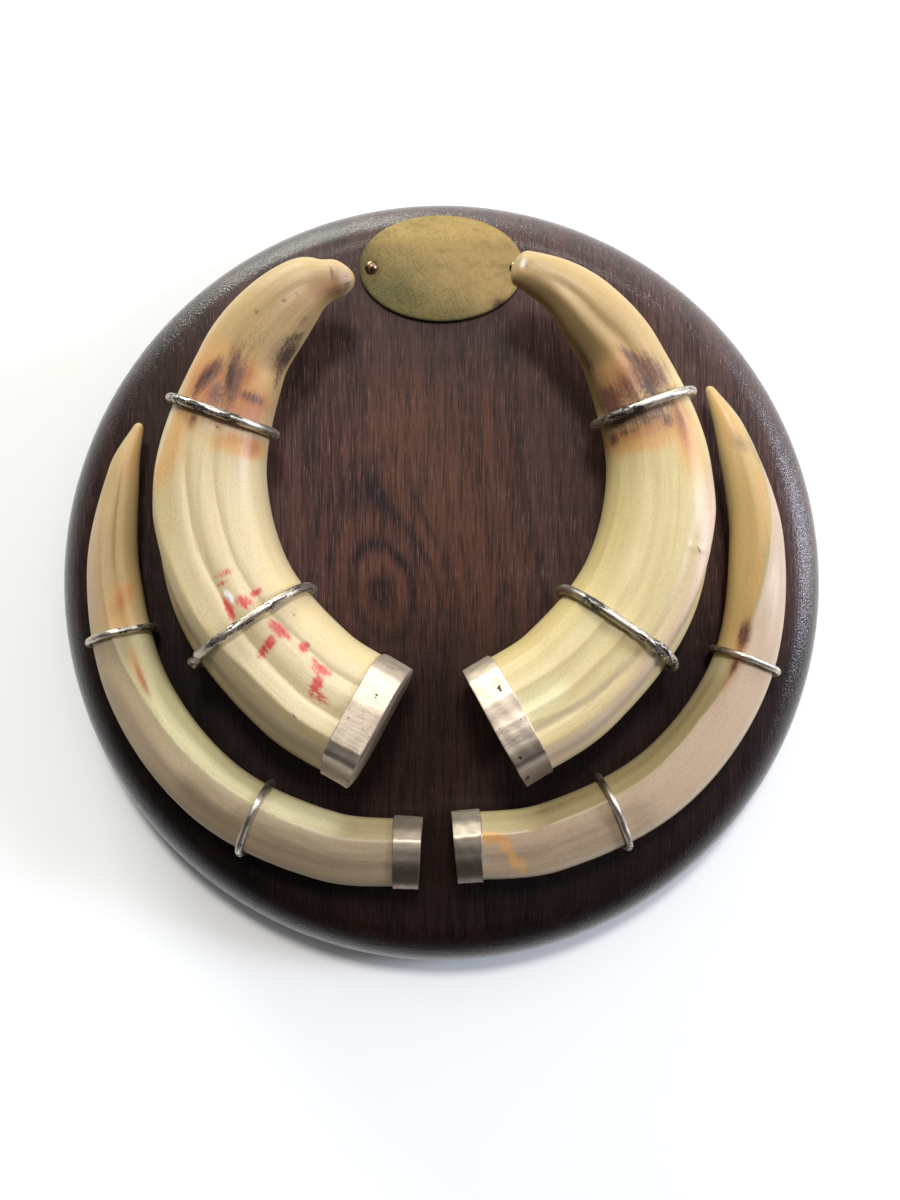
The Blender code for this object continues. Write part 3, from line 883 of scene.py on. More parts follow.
class Nodes:
    """Adds nodes to a tree and gives what they work out as fields."""

    def __init__(self, tree):
        self.tree = tree

    def put(self, socket, value):
        if isinstance(value, Field):
            self.tree.links.new(value.socket, socket)
        else:
            socket.default_value = (*value, 1.0) if socket.type == "RGBA" else value

    def made(self, kind, inputs, output=0, **settings):
        """One output of a new node, from its inputs by name or place and its settings."""
        node = self.tree.nodes.new("ShaderNode" + kind)
        for key, value in settings.items():
            setattr(node, key, value)
        for key, value in inputs.items():
            self.put(node.inputs[key], value)
        return Field(self, node.outputs[output])

    def math(self, operation, *values):
        return self.made("Math", dict(enumerate(values)), operation=operation)

    def vector(self, operation, *values):
        return self.made("VectorMath", dict(enumerate(values)), operation=operation)

    def join(self, *values):
        return self.made("CombineXYZ", dict(enumerate(values)))

    def split(self, vector):
        return [self.made("SeparateXYZ", {0: vector}, output) for output in range(3)]

    def noise(self, vector, scales, detail=3.0, roughness=0.5):
        """Noise round 0.5; scales are features per millimetre along each axis."""
        inputs = dict(Vector=self.vector("MULTIPLY", vector, scales), Scale=1.0)
        inputs.update(Detail=detail, Roughness=roughness)
        return self.made("TexNoise", inputs, "Fac")

    def blend(self, amount, first, second, kind="MIX"):
        inputs = {0: amount, 6: first, 7: second}
        return self.made("Mix", inputs, 2, data_type="RGBA", blend_type=kind)


class Surface(Nodes):
    """The nodes of one material, with its colour laid on in layers."""

    def __init__(self, name):
        self.material = bpy.data.materials.new(name)
        self.material.use_nodes = True
        super().__init__(self.material.node_tree)
        self.colour = None

    def place(self):
        """The point on the piece, in millimetres."""
        return self.vector("MULTIPLY", self.made("TexCoord", {}, "Object"), (1 / MM,) * 3)

    def attribute(self, name, output="Fac"):
        return self.made("Attribute", {}, output, attribute_name=name)

    def paint(self, amount, colour, kind="MIX"):
        """Lays a colour over what the surface has so far."""
        self.colour = self.blend(amount, self.colour, colour, kind)

    def relief(self, height, distance, strength):
        """A bump map; a height of 1 stands distance in millimetres above 0."""
        inputs = dict(Strength=strength, Distance=distance * MM, Height=height)
        return self.made("Bump", inputs, "Normal")

    def finish(self, **values):
        """Sets the shader's inputs, with underscores for spaces, and gives the material."""
        shader = self.tree.nodes["Principled BSDF"]
        for name, value in values.items():
            self.put(shader.inputs[name.replace("_", " ")], value)
        return self.material


def shaded(colour, *factors):
    return tuple(np.multiply(colour, factors))


KNOT = (-19.6, -3.2)
KNOT_EYE = (5.6, 6.8)  # half its width and half its height
KNOT_TALL = (18.0, 18.0)  # how far the rings draw out along the grain, and over what distance
KNOT_BEND = 1.5
KNOT_CREEP = 0.02  # how much further they draw out per millimetre
KNOT_LEAN = -0.18
KNOT_RINGS = ((10.4, 1.9, 1.0), (17.6, 1.5, 0.9), (23.3, 1.1, 0.6))  # distance, half width, darkness
FLECK_OFFSET = (31.0, 17.0, 5.0)  # keeps the flecks apart from the fibres


def wood_surface():
    surface = Surface("dark rosewood")
    place = surface.place()
    x, y, z = surface.split(place)

    # distance from the knot's middle, drawn out along the grain
    warp = (surface.noise(place, (0.06, 0.03, 0.06), 2.0) - 0.5) * 5.0
    above = y - KNOT[1]
    off_x = x - KNOT[0] - above * KNOT_LEAN + warp
    fall = surface.math("POWER", math.e, (abs(above) / KNOT_TALL[1]) ** KNOT_BEND * -1.0)
    tall = surface.math("SUBTRACT", 1.0, fall) * KNOT_TALL[0] + abs(above) * KNOT_CREEP
    away = surface.math("SQRT", off_x * off_x + tall * tall)

    # grain
    bands = surface.noise(surface.join(away + x * 0.3, y, z), (0.12, 0.004, 0.04), 3.0, 0.55)
    streaks = surface.noise(place, (0.8, 0.018, 0.4), 3.0, 0.6)
    fibres = surface.noise(place, (2.7, 0.075, 1.2), 3.0, 0.75)
    flecks = surface.noise(surface.vector("ADD", place, FLECK_OFFSET), (2.6, 0.12, 1.0), 2.0, 0.6)
    tone = bands * 0.28 + (streaks * 0.24 + fibres * 0.48)
    purple = surface.math("MAXIMUM", abs(x + 8.0).rise(12.0, 55.0), y.rise(50.0, 85.0))
    surface.colour = surface.blend(purple, (0.114, 0.046, 0.029), (0.074, 0.034, 0.028))
    surface.paint(tone.rise(0.58, 0.39), (0.024, 0.011, 0.011))

    # the knot's eye, halo and rings
    near = x.bell(KNOT[0] + 2.0, 24.0) * y.bell(KNOT[1] + 16.0, 40.0) * above.rise(50.0, 38.0)
    eye_x = off_x / KNOT_EYE[0]
    eye_y = above / KNOT_EYE[1]
    dark = (eye_x * eye_x + eye_y * eye_y).bell(0.0, 0.9) * 0.9
    surface.paint(away.bell(7.2, 1.8) * near * fibres.rise(0.3, 0.6, 0.35), (0.130, 0.052, 0.028))
    for distance, width, darkness in KNOT_RINGS:
        dark = surface.math("MAXIMUM", dark, away.bell(distance, width) * near * darkness)
    surface.paint(dark * fibres.rise(0.74, 0.46), (0.006, 0.005, 0.008))

    # dark pores and pale flecks, and painted shade that darkens the foot and the left margin
    surface.paint(fibres.rise(0.45, 0.30, 0.6), (0.008, 0.005, 0.005))
    surface.paint(flecks.rise(0.56, 0.72, 0.6), (0.200, 0.110, 0.085))
    # painted shade: darker towards the foot, and darker still near its edge
    surface.paint(y.rise(10.0, -38.0, 0.86), (0.16, 0.12, 0.13), "MULTIPLY")
    surface.paint(y.rise(-60.0, -115.0, 0.6), (0.2, 0.2, 0.2), "MULTIPLY")
    # painted shade: darker towards the left margin
    surface.paint(x.rise(-50.0, -92.0, 0.8), (0.36, 0.35, 0.33), "MULTIPLY")

    rim = z.rise(BOARD_THICKNESS - 0.1, BOARD_THICKNESS - 1.5)
    dusty = surface.noise(place, (1.3, 1.3, 1.3), 3.0, 0.6) * (rim * 2.2 + 0.8)
    normal = surface.relief(fibres + flecks * -0.8 + dusty, 0.11, 0.7)
    return surface.finish(
        Base_Color=surface.colour,
        Roughness=fibres * 0.3 + 0.32,
        Specular_IOR_Level=0.15,
        Coat_Weight=rim * 0.85 + 0.15,
        Coat_Roughness=0.08,
        Normal=normal,
        Coat_Normal=normal,
    )


@dataclass
class Pigment:
    """A colour on the ivory, and how streaks and fine dirt break up its patches."""

    colour: tuple
    cover: float
    streaks: float
    dirt: float
    edge: tuple  # from bare to fully covered


PIGMENTS = {  # in the order in which they lie over one another
    # straw tone; on the upper right tusk also a painted highlight by the cap
    "straw": Pigment((0.72, 0.66, 0.400), 0.70, 0.7, 0.1, (0.05, 0.95)),
    "tan": Pigment((0.48, 0.315, 0.135), 0.92, 0.5, 0.1, (0.05, 0.95)),
    # olive tone, with painted shade in grooves and on flanks turned from the light
    "olive": Pigment((0.42, 0.34, 0.160), 0.75, 0.6, 0.2, (0.10, 0.90)),
    # brown stains, with painted shade on flanks turned from the light
    "brown": Pigment((0.30, 0.195, 0.085), 0.90, 0.5, 0.3, (0.05, 1.0)),
    "rose": Pigment((0.56, 0.40, 0.290), 0.80, 0.5, 0.1, (0.10, 0.90)),
    "dun": Pigment((0.255, 0.190, 0.118), 0.80, 1.0, 0.5, (0.05, 1.0)),
    "honey": Pigment((0.60, 0.385, 0.145), 0.75, 1.2, 0.3, (0.10, 1.10)),
    "amber": Pigment((0.62, 0.330, 0.115), 0.88, 0.9, 0.3, (0.08, 0.90)),
    "rust": Pigment((0.42, 0.155, 0.065), 0.85, 0.8, 0.7, (0.05, 1.1)),
    "chalk": Pigment((0.84, 0.84, 0.840), 0.90, 0.4, 0.5, (0.25, 0.75)),
    "umber": Pigment((0.120, 0.050, 0.038), 0.90, 0.7, 2.0, (0.14, 1.05)),
    "soot": Pigment((0.05, 0.034, 0.030), 0.85, 0.8, 2.8, (0.45, 1.0)),
    "ink": Pigment((0.52, 0.040, 0.045), 0.94, 1.0, 2.2, (0.28, 0.90)),
}


def ivory_surface(tusk):
    surface = Surface("ivory of " + tusk.name)
    place = surface.attribute("straight", "Vector")

    def noise(along, across, detail=3.0, roughness=0.6):
        return surface.noise(place, (along, across, across), detail, roughness)

    streaks = noise(0.012, 0.24, 4.0, 0.5)
    tint = noise(0.008, 0.15, 3.0, 0.55)
    fine = noise(0.035, 1.2)
    clouds = noise(0.03, 0.07, 3.0, 0.5)
    bars = noise(0.28, 0.03)
    grit = noise(1.1, 1.1, 3.0, 0.65)
    grain = noise(1.5, 1.9, 3.0, 0.7)
    wash = noise(0.05, 0.45, 4.0)
    dirt = noise(0.9, 1.4, 4.0, 0.7)
    shade = shaded(tusk.cream, 0.91, 0.88, 0.80)
    surface.colour = surface.blend(streaks.rise(0.34, 0.62), shade, tusk.cream)
    surface.paint(clouds.rise(0.45, 0.72, 0.7), shaded(tusk.cream, 0.95, 0.88, 0.80))
    surface.paint(tint.rise(0.44, 0.60, 0.7), shaded(tusk.cream, 1.0, 0.97, 0.84))
    surface.paint(bars.rise(0.5, 0.7, tusk.bars), shade)
    surface.paint(fine.rise(0.46, 0.28, 0.35), shaded(shade, 0.8, 0.74, 0.62))
    for name, pigment in PIGMENTS.items():
        if name in tusk.marks:
            broken = (wash - 0.5) * (pigment.streaks * 2.0) + (dirt - 0.5) * pigment.dirt + 1.0
            density = surface.attribute(name) * broken
            surface.paint(density.rise(*pigment.edge, pigment.cover), pigment.colour)
    surface.paint(grit.rise(0.67, 0.77, 0.38), (0.24, 0.15, 0.08))
    surface.paint(grain.rise(0.54, 0.30, 0.45), (0.66, 0.60, 0.50), "MULTIPLY")
    return surface.finish(
        Base_Color=surface.colour,
        Roughness=fine * 0.22 + (tusk.gloss - 0.1),
        Subsurface_Weight=0.10,
        Subsurface_Radius=(1.0, 0.6, 0.3),
        Subsurface_Scale=1.5 * MM,
        Normal=surface.relief(fine + grit * -0.35 + grain * 0.5, 0.06, 0.6),
    )


# colours of clean and of clouded silver, least roughness, and strength of the scuffs
CAP_SILVER = ((0.78, 0.655, 0.525), (0.64, 0.53, 0.42), 0.44, 0.2)
WIRE_SILVER = ((0.78, 0.70, 0.60), (0.44, 0.385, 0.325), 0.34, 0.5)


def silver_surface(name, bright, dark, roughness, scuffing):
    surface = Surface(name)
    place = surface.attribute("straight", "Vector")
    clouds = surface.noise(place, (0.12, 0.16, 0.16), 4.0, 0.6)
    scuffs = surface.noise(place, (0.30, 1.1, 1.1), 4.0, 0.6)
    specks = surface.noise(place, (1.3, 1.3, 1.3), 4.0, 0.65)
    tarnish = surface.attribute("tarnish") * (scuffs + 0.5)
    ragged = (specks - 0.5) * 0.5 + (scuffs - 0.5)
    black = (surface.attribute("blackened") + ragged * 2.4).rise(0.52, 0.66, 0.94)
    surface.colour = surface.blend(clouds.rise(0.35, 0.62), dark, bright)
    surface.paint(scuffs.rise(0.50, 0.36, scuffing), shaded(dark, 0.4))
    surface.paint(tarnish.rise(0.0, 1.0, 0.92), (0.150, 0.115, 0.085))
    surface.paint(specks.rise(0.60, 0.70, 0.60), (0.20, 0.15, 0.11))
    surface.paint(black, (0.030, 0.030, 0.032))
    roughness = scuffs * 0.2 + (black * 0.15 + roughness)
    normal = surface.relief(scuffs + specks * 0.5, 0.12, 0.5)
    return surface.finish(Base_Color=surface.colour, Roughness=roughness, Metallic=1.0, Normal=normal)


def brass_surface():
    surface = Surface("tarnished brass")
    place = surface.place()
    x, y, _ = surface.split(place)
    brushed = surface.noise(surface.join(x + y * 0.35, y, 0.0), (2.6, 0.10, 1.0), 3.0, 0.6)
    clouds = surface.noise(place, (0.06, 0.08, 0.07), 4.0, 0.6)
    specks = surface.noise(place, (1.0, 1.0, 1.0), 3.0, 0.6)
    blooms = surface.noise(place, (0.16, 0.3, 0.3), 4.0, 0.7)
    # the lower left is darker and greener
    side = (x + (y - PLATE_CENTRE_Y) * 1.2 + (clouds - 0.5) * 30.0).rise(-28.0, 8.0)
    grime = surface.noise(place, (1.8, 1.8, 1.8), 3.0, 0.75) + side * -0.14
    surface.colour = surface.blend(side, (0.118, 0.104, 0.048), (0.27, 0.190, 0.083))
    surface.paint(y.rise(111.0, 115.0, 0.6), (0.28, 0.20, 0.08))
    surface.paint(y.rise(97.0, 87.0, 0.35), (0.11, 0.080, 0.035))
    surface.paint(specks.rise(0.48, 0.66, 0.3), (0.145, 0.105, 0.045))
    surface.paint(blooms.rise(0.50, 0.66, 0.6), (0.16, 0.125, 0.055))
    surface.paint(grime.rise(0.44, 0.58, 0.6), (0.045, 0.040, 0.020))
    # a dark patch at the lower right, and a dark ring round the left pin
    surface.paint((x + specks * 4.0).bell(21.5, 2.6) * y.bell(93.0, 2.2) * 0.9, (0.045, 0.030, 0.022))
    surface.paint(x.bell(PIN_PLACES[0][1], 3.0) * y.bell(PLATE_CENTRE_Y, 3.0) * 0.9, (0.085, 0.050, 0.026))
    roughness = brushed * 0.2 + 0.48
    normal = surface.relief(brushed + clouds * 2.0, 0.05, 0.5)
    return surface.finish(Base_Color=surface.colour, Roughness=roughness, Metallic=1.0, Normal=normal)


def pin_surface():
    surface = Surface("coppery pin")
    clouds = surface.noise(surface.place(), (0.8, 0.8, 0.8), 4.0, 0.6)
    colour = surface.blend(clouds.rise(0.38, 0.66), (0.13, 0.08, 0.05), (0.46, 0.31, 0.21))
    normal = surface.relief(clouds, 0.1, 0.5)
    return surface.finish(Base_Color=colour, Roughness=clouds * 0.3 + 0.2, Metallic=1.0, Normal=normal)


# ------------------------------------------------------------------------ pieces


def tusk_shares(tusk):
    length = length_of(tusk)
    start = (CAP_END_WALL + GAP) / length
    body_end = 1 - tusk.tip_rounding / length
    turns = np.radians(np.linspace(0, 90, TIP_RINGS + 1)[1:-1])
    return np.concatenate([np.linspace(start, body_end, tusk.rings), mix(body_end, 1.0, np.sin(turns))])


def mark_density(tusk, mark, shares, degrees):
    if isinstance(mark, Band):
        return mark.strength * course_profile(mark, shares, degrees, mark.keenness)
    return mark.strength * patch_profile(tusk, mark, shares, degrees, mark.turn)


def make_tusk(tusk):
    shares = tusk_shares(tusk)
    around = round_degrees(tusk)
    share_grid, degree_grid = (grid.ravel() for grid in np.meshgrid(shares, around, indexing="ij"))
    share_grid = slanted(tusk, share_grid, degree_grid)
    radius = section_radii(tusk, share_grid, degree_grid, fine=True) * tip_factor(tusk, share_grid)
    skin = at_radius(tusk, share_grid, degree_grid, radius).reshape(len(shares), len(around), 3)
    tip = centres_of(tusk, np.array([1.0]))[0]
    obj = mesh_object(tusk.name + "_ivory", [lofted([*skin, tip])])
    reach = np.append(np.full(len(share_grid), tusk.stations[0][3] / 2), 0.0)
    share_grid = np.append(share_grid, 1.0)
    degree_grid = np.append(degree_grid, 90.0)
    straight = straightened(share_grid * length_of(tusk), reach, np.radians(degree_grid))
    densities = {
        pigment: np.max([mark_density(tusk, mark, share_grid, degree_grid) for mark in marks], axis=0)
        for pigment, marks in tusk.marks.items()
    }
    dress(obj, tusk.name, "ivory", ivory_surface(tusk), straight=straight, **densities)


def strap_rise(tusk, shares, degrees):
    """How far a taut strap stands off the skin where it bridges a groove."""
    leans = [(turn, math.cos(math.radians(turn))) for turn in STRAP_BRIDGE]
    reach = np.max([section_radii(tusk, shares, degrees + turn) * lean for turn, lean in leans], axis=0)
    return np.maximum(0.0, reach - section_radii(tusk, shares, degrees))


def taut_radii(radii, degrees):
    """Radii of the outline of a sheet pulled tight round a section."""
    facing = np.radians(np.arange(0.0, 360.0, HULL_STEP))[:, None]
    lean = np.cos(facing - np.radians(degrees))
    reach = np.max(radii * lean, axis=1)[:, None]
    return np.min(np.where(lean > HULL_LEAN, reach / np.maximum(lean, HULL_LEAN), np.inf), axis=0)


def cap_profile(cap):
    """Distance from the closed end and from the tusk's skin, down the outside and back inside."""
    outer = GAP + CAP_WALL
    mouth = cap.length - GAP
    profile = [(0.0, outer - CAP_EDGE), (CAP_EDGE * EASE, outer - CAP_EDGE * EASE), (CAP_EDGE, outer)]
    for step in range(1, CAP_RINGS + 1):
        profile.append((mix(CAP_EDGE, mouth - CAP_EDGE, step / CAP_RINGS), outer))
    return [*profile, (mouth, outer - CAP_EDGE), (mouth, GAP), (CAP_END_WALL, GAP)]


def mouth_waves(turn, side):
    """How much further a cap reaches at its mouth, round the cap."""
    broad, fine = CAP_MOUTH_WAVES
    waves = np.sin(broad * turn + side) + CAP_MOUTH_FINE * np.sin(fine * turn + 2.0)
    return CAP_MOUTH_WAVE * waves / (1 + CAP_MOUTH_FINE)


def dents(turn, at):
    """Shallow dents and bulges of a cap's sheet, round it at a distance from its closed end."""
    (fine, fine_shift), (broad, broad_shift) = CAP_DENT_WAVES
    return CAP_DENT * np.sin(fine * turn + at * fine_shift) * np.sin(broad * turn + at * broad_shift + 1.0)


def make_cap(tusk, surface):
    cap = tusk.cap
    length = length_of(tusk)
    around = round_degrees(tusk)
    turn = np.radians(around)
    waves = mouth_waves(turn, tusk.side)
    rings, straight, tarnish, blackened = [], [], [], []
    for at, grow in cap_profile(cap):
        shares = slanted(tusk, np.full(len(around), at / length), around)
        radii = section_radii(tusk, shares, around)
        if grow > GAP:
            radii = mix(taut_radii(radii, around), radii, cap.waves) + dents(turn, at)
        shares = shares + waves * (at / (cap.length - GAP)) ** CAP_MOUTH_POWER / length
        rings.append(at_radius(tusk, shares, around, radii + grow))
        straight.append(straightened(at, radii, turn))
        stripe, spot = np.zeros(len(around)), np.zeros(len(around))
        for middle, wide, power in cap.tarnish:
            stripe = np.maximum(stripe, power * np.exp(-((turned(around, middle) / wide) ** 2)))
        for away, middle, long, wide, power in cap.spots:
            across = np.radians(turned(around, middle)) * tusk.stations[0][3] / 2
            spot = np.maximum(spot, power * np.exp(-(((at - away) / long) ** 2) - (across / wide) ** 2))
        tarnish.append(stripe)
        blackened.append(spot)
    rows = dict(straight=straight, tarnish=tarnish, blackened=blackened)
    name = tusk.name.replace("tusk", "cap")
    obj = mesh_object(name + "_silver", [lofted(rings)])
    dress(obj, name, "silver", surface, **{key: np.concatenate(row) for key, row in rows.items()})


def path_frames(points):
    """Two sides of each point of a path, which turn as little as they can."""
    before = points[np.maximum(np.arange(len(points)) - 1, 0)]
    after = points[np.minimum(np.arange(len(points)) + 1, len(points) - 1)]
    along = unit(after - before)
    across = np.array(Vector(along[0]).orthogonal().normalized())
    sides = []
    for direction in along:
        across = unit(across - direction * np.dot(across, direction))
        sides.append((across, np.cross(direction, across)))
    return sides


def tube(points, radii):
    """A closed round tube along points, with each vertex's place as if the tube were straight."""
    turns = 2 * np.pi * np.arange(WIRE_SIDES) / WIRE_SIDES
    along = np.concatenate([[0.0], np.cumsum(np.linalg.norm(np.diff(points, axis=0), axis=1))])
    rings = []
    for point, (across, side), radius in zip(points, path_frames(points), radii):
        rings.append(point + radius * (np.cos(turns)[:, None] * across + np.sin(turns)[:, None] * side))
    return lofted(rings), straightened(along[:, None], radii[:, None], turns).reshape(-1, 3)


def tuck_of(tusk, share, inner, clear):
    """Degrees that a strap reaches down and under before it meets the board."""
    tucks = np.arange(STRAP_TUCK)
    degrees = 180.0 + tucks if inner else -1.0 * tucks
    heights = skin_points(tusk, np.full(len(tucks), share), degrees, clear)[:, 2]
    low = np.nonzero(heights < BOARD_THICKNESS + clear * 2)[0]
    return int(low[0]) if len(low) else STRAP_TUCK


def smoothed(points, passes):
    points = points.copy()
    for _ in range(passes):
        points[1:-1] = (points[:-2] + 2 * points[1:-1] + points[2:]) / 4
    return points


def parting_of(share, wire):
    """0 where a strap is one wire, 1 where its two strands are fully apart."""
    return smoothstep((share - wire.twist_from) / TWIST_PARTING)


def wire_route(tusk, wire):
    """Points over the tusk, from the inner to the outer side, with legs into the board."""
    plain = wire.diameter / 2
    clear = plain + WIRE_AIR
    start = 180 + tuck_of(tusk, wire.inner_share, True, clear)
    end = -tuck_of(tusk, wire.outer_share, False, clear)
    across = np.linspace(0.0, 1.0, WIRE_ARCH_STEPS + 1)
    shares = mix(wire.inner_share, wire.outer_share, across) + wire.lean * np.sin(np.pi * across)
    degrees = mix(start, end, across)
    lift = smoothed(strap_rise(tusk, shares, degrees), LIFT_SMOOTHING)
    lift += (TWIST_OFFSET + TWIST_RADIUS - plain) * parting_of(across, wire)
    arch = skin_points(tusk, shares, degrees, clear + lift)
    inwards = unit(arch[-1] - arch[0]) * wire.tuck
    heights = np.linspace(WIRE_END_ABOVE_BACK, BOARD_THICKNESS + plain, WIRE_LEG_STEPS)
    legs = []
    for x, y, _ in (arch[0] + inwards, arch[-1] - inwards):
        legs.append(np.stack(np.broadcast_arrays(x, y, heights), axis=-1))
    share = np.concatenate([np.zeros(WIRE_LEG_STEPS), across, np.ones(WIRE_LEG_STEPS)])
    return smoothed(np.vstack([legs[0], arch, legs[1][::-1]]), WIRE_SMOOTHING), share


def make_strap(tusk, wire, surface):
    """A strap of one wire, or of two strands where it is twisted; gives its holes in the board."""
    route, share = wire_route(tusk, wire)
    radius = wire.diameter / 2
    slow, fast = np.sin(share * WIRE_WEAR_WAVES[1] + tusk.side), np.sin(share * WIRE_WEAR_WAVES[0])
    parting = parting_of(share, wire)
    radii = mix(radius * (1 + WIRE_WEAR * fast * slow), TWIST_RADIUS, parting)
    turn = 2 * np.pi * TWIST_TURNS * np.maximum(share - wire.twist_from, 0.0)
    across, side = (np.array(rows) for rows in zip(*path_frames(route)))
    away = np.cos(turn)[:, None] * across + np.sin(turn)[:, None] * side
    away = (TWIST_OFFSET * parting)[:, None] * away
    tubes = [tube(route + away, radii)]
    black = TWIST_BLACK * parting
    for start, end, strength in wire.blackened:
        black = np.maximum(black, strength * smoothstep(np.minimum(share - start, end - share) / BLACK_FADE))
    blackened = np.repeat(black, WIRE_SIDES)
    outer = radius
    if wire.twist_from < 1:
        second = share > wire.twist_from
        tubes.append(tube((route - away)[second], np.full(second.sum(), TWIST_RADIUS)))
        blackened = np.append(blackened, np.full(second.sum() * WIRE_SIDES, TWIST_BLACK))
        outer = TWIST_OFFSET + TWIST_RADIUS
    obj = mesh_object(wire.name + "_wire", [body for body, _ in tubes])
    straight = np.concatenate([places for _, places in tubes])
    dress(obj, wire.name, "silver", surface, blackened=blackened, straight=straight)
    return [(*route[0][:2], radius), (*route[-1][:2], outer)]


def quarter(steps):
    """Sines and cosines of a quarter turn, from its start to its end."""
    turns = np.linspace(0.0, math.pi / 2, steps + 1)
    return zip(np.sin(turns), np.cos(turns))


def board_rings():
    """Rings from the middle of the back, round the edge, to the middle of the face."""
    steps = np.arange(1, BOARD_FACE_RINGS + 1) / BOARD_FACE_RINGS
    back = BOARD_RADIUS - BOARD_BACK_ROUNDING
    face = BOARD_RADIUS - BOARD_EDGE_WIDTH
    profile = [(back * step, 0.0) for step in steps]
    for sin, cos in list(quarter(BOARD_BACK_STEPS))[1:]:
        profile.append((back + BOARD_BACK_ROUNDING * sin, BOARD_BACK_ROUNDING * (1 - cos)))
    for sin, cos in quarter(BOARD_EDGE_STEPS):
        profile.append((face + BOARD_EDGE_WIDTH * cos, BOARD_THICKNESS - BOARD_EDGE_DROP * (1 - sin)))
    profile += [(face * step, BOARD_THICKNESS) for step in steps[-2::-1]]
    rings = [circle(radius, height, BOARD_SIDES) for radius, height in profile]
    return [[(0.0, 0.0, 0.0)], *rings, [(0.0, 0.0, BOARD_THICKNESS)]]


def bore(obj, holes):
    """Cuts vertical holes, given as x, y and radius, right through a piece."""
    bodies = []
    for x, y, radius in holes:
        bodies.append(lofted([circle(radius, height, HOLE_SIDES, (x, y)) for height in HOLE_ENDS]))
    cutter = mesh_object("hole_cutter", bodies)
    modifier = obj.modifiers.new("holes", "BOOLEAN")
    modifier.operation = "DIFFERENCE"
    modifier.solver = "EXACT"
    modifier.object = cutter
    graph = bpy.context.evaluated_depsgraph_get()
    cut = bpy.data.meshes.new_from_object(obj.evaluated_get(graph))
    obj.modifiers.remove(modifier)
    cut.set_sharp_from_angle(angle=SHARP_ANGLE)
    obj.data = cut
    bpy.data.objects.remove(cutter)


def make_board(feet):
    obj = mesh_object("board_wood", [lofted(board_rings())])
    bore(obj, [(x, y, radius + HOLE_AIR) for x, y, radius in feet])
    dress(obj, "board", "wood", wood_surface())


def plate_height(y):
    past_bend = np.maximum(0.0, y - PLATE_CENTRE_Y - PLATE_BEND_START)
    return BOARD_THICKNESS + PLATE_AIR - past_bend**2 / (2 * PLATE_BEND_RADIUS)


def plate_ring(share, lift, inset=0.0):
    """One oval of the plate; share is of its half width, lift the height above its underside."""
    turns = 2 * np.pi * np.arange(PLATE_SIDES) / PLATE_SIDES
    x = (PLATE_WIDTH / 2 - inset) * share * np.cos(turns)
    y = PLATE_CENTRE_Y + (PLATE_HEIGHT / 2 - inset) * share * np.sin(turns)
    return np.stack([x, y, plate_height(y) + lift], axis=-1)


def make_plate(surface):
    shares = np.arange(1, PLATE_RINGS + 1) / PLATE_RINGS
    rings = [[(0.0, PLATE_CENTRE_Y, BOARD_THICKNESS + PLATE_AIR)]]
    rings += [plate_ring(share, 0.0) for share in shares]
    rings.append(plate_ring(1.0, PLATE_THICKNESS - PLATE_BEVEL))
    rings.append(plate_ring(1.0, PLATE_THICKNESS - PLATE_BEVEL * EASE, PLATE_BEVEL * EASE))
    rings += [plate_ring(share, PLATE_THICKNESS, PLATE_BEVEL) for share in shares[::-1]]
    rings.append([(0.0, PLATE_CENTRE_Y, BOARD_THICKNESS + PLATE_AIR + PLATE_THICKNESS)])
    dress(mesh_object("name_plate_brass", [lofted(rings)]), "name_plate", "brass", surface)


def make_pin(name, x, surface):
    seat = BOARD_THICKNESS + PLATE_AIR + PLATE_THICKNESS + GAP
    place = (x, PLATE_CENTRE_Y)
    shank = (seat - PIN_SHANK_LENGTH, seat)
    rings = [circle(PIN_SHANK_RADIUS, height, PIN_SIDES, place) for height in shank]
    for sin, cos in list(quarter(PIN_HEAD_STEPS))[:-1]:
        rings.append(circle(PIN_HEAD_RADIUS * cos, seat + PIN_HEAD_HEIGHT * sin, PIN_SIDES, place))
    rings.append([(*place, seat + PIN_HEAD_HEIGHT)])
    dress(mesh_object(name + "_brass", [lofted(rings)]), name, "brass", surface)


# ------------------------------------------------------------------------- stage

FLOOR_DROP = 0.2
FLOOR_REACH = 3000.0
FLOOR_FADE = (250.0, -250.0)
# painted light: the floor is lighter past the plaque's foot, evening out the weaker light there
FLOOR_COLOURS = ((0.94, 0.94, 0.94), (0.98, 0.98, 0.98))  # past the plaque's top and past its foot
FLOOR_CLOUDS = 0.1
FLOOR_CLOUD_SCALES = (0.01, 0.01, 0.01)
CAMERA_PLACE = (2.9, -5.9, 412.0)
CAMERA_LENS = 34.71
CAMERA_SENSOR = 36.0
WORLD_AXIS = (0.36, 0.88, 0.30)
WORLD_FADE = (0.12, 0.95)
WORLD_LEVELS = (0.05, 1.20)

# name, degrees from +Y towards +X, height in degrees, distance, width, height, power, colour
LIGHTS = (
    ("ceiling", 3.0, 61.0, 2600.0, 380.0, 380.0, 35.0, (1.0, 0.97, 0.92)),
    ("left_window", -20.0, 15.0, 2500.0, 1050.0, 300.0, 38.0, (0.90, 1.0, 0.90)),
    ("right_window", 82.0, 24.0, 2500.0, 520.0, 700.0, 46.0, (0.74, 0.82, 1.0)),
)


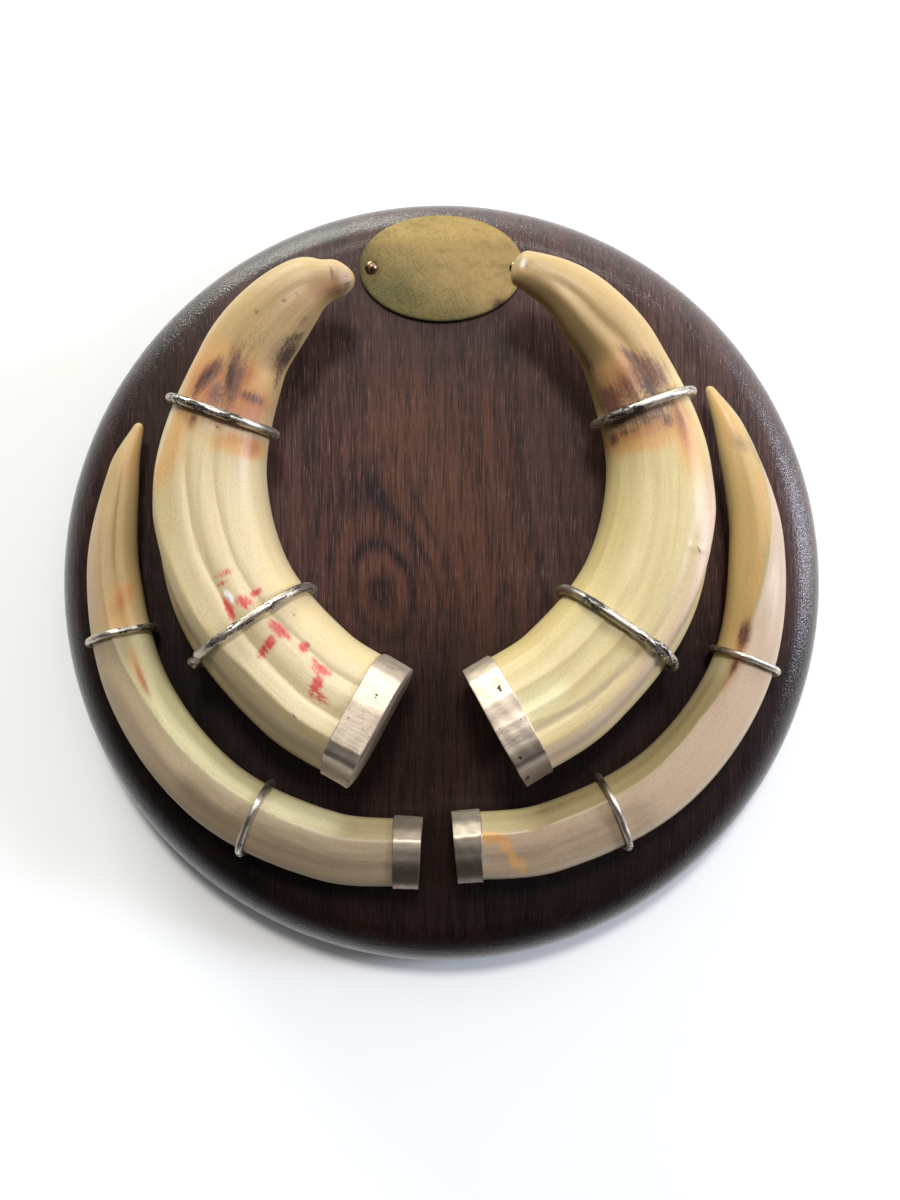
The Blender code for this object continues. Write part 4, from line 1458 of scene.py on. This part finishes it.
def make_floor():
    mesh = bpy.data.meshes.new("floor")
    reach = FLOOR_REACH * MM
    corners = [(-reach, -reach, 0), (reach, -reach, 0), (reach, reach, 0), (-reach, reach, 0)]
    mesh.from_pydata(corners, [], [(0, 1, 2, 3)])
    floor = bpy.data.objects.new("floor", mesh)
    floor.location.z = -FLOOR_DROP * MM
    bpy.context.scene.collection.objects.link(floor)
    surface = Surface("pale floor")
    place = surface.place()
    _, y, _ = surface.split(place)
    # painted light: lighter towards the plaque's foot, with faint clouds
    tone = y.rise(*FLOOR_FADE) + surface.noise(place, FLOOR_CLOUD_SCALES) * FLOOR_CLOUDS
    colour = surface.blend(tone, *FLOOR_COLOURS)
    mesh.materials.append(surface.finish(Base_Color=colour, Roughness=0.9, Specular_IOR_Level=0.2))


def make_world():
    """Soft light from all round, bright towards the top of the plaque and dim below it."""
    world = bpy.data.worlds.new("studio")
    world.use_nodes = True
    nodes = Nodes(world.node_tree)
    x, y, z = nodes.split(nodes.made("TexCoord", {}, "Generated"))
    towards = x * WORLD_AXIS[0] + y * WORLD_AXIS[1] + z * WORLD_AXIS[2]
    low, high = WORLD_LEVELS
    background = world.node_tree.nodes["Background"]
    nodes.put(background.inputs["Color"], (1.0, 1.0, 1.0))
    nodes.put(background.inputs["Strength"], towards.rise(*WORLD_FADE, high - low) + low)
    bpy.context.scene.world = world


def add_light(name, azimuth, height, distance, width, tall, power, colour):
    turn, rise = math.radians(azimuth), math.radians(height)
    light = bpy.data.lights.new(name, "AREA")
    light.shape = "RECTANGLE"
    light.size, light.size_y = width * MM, tall * MM
    light.energy = power
    light.color = colour
    obj = bpy.data.objects.new(name, light)
    reach = distance * math.cos(rise)
    obj.location = Vector((reach * math.sin(turn), reach * math.cos(turn), distance * math.sin(rise))) * MM
    obj.rotation_euler = (-obj.location).to_track_quat("-Z", "Y").to_euler()
    bpy.context.scene.collection.objects.link(obj)


def make_stage():
    make_floor()
    make_world()
    for light in LIGHTS:
        add_light(*light)
    camera = bpy.data.cameras.new("camera")
    camera.lens = CAMERA_LENS
    camera.sensor_width = CAMERA_SENSOR
    obj = bpy.data.objects.new("camera", camera)
    obj.location = Vector(CAMERA_PLACE) * MM
    bpy.context.scene.collection.objects.link(obj)
    bpy.context.scene.camera = obj
    bpy.context.scene.view_settings.view_transform = "Standard"


def build():
    cap_silver = silver_surface("worn silver sheet", *CAP_SILVER)
    wire_silver = silver_surface("tarnished silver wire", *WIRE_SILVER)
    brass = brass_surface()
    copper = pin_surface()
    feet = []
    for tusk in TUSKS:
        make_tusk(tusk)
        make_cap(tusk, cap_silver)
        for wire in tusk.wires:
            feet += make_strap(tusk, wire, wire_silver)
    for name, x in PIN_PLACES:
        make_pin(name, x, copper)
        feet.append((x, PLATE_CENTRE_Y, PIN_SHANK_RADIUS))
    make_plate(brass)
    make_board(feet)
    make_stage()


build()
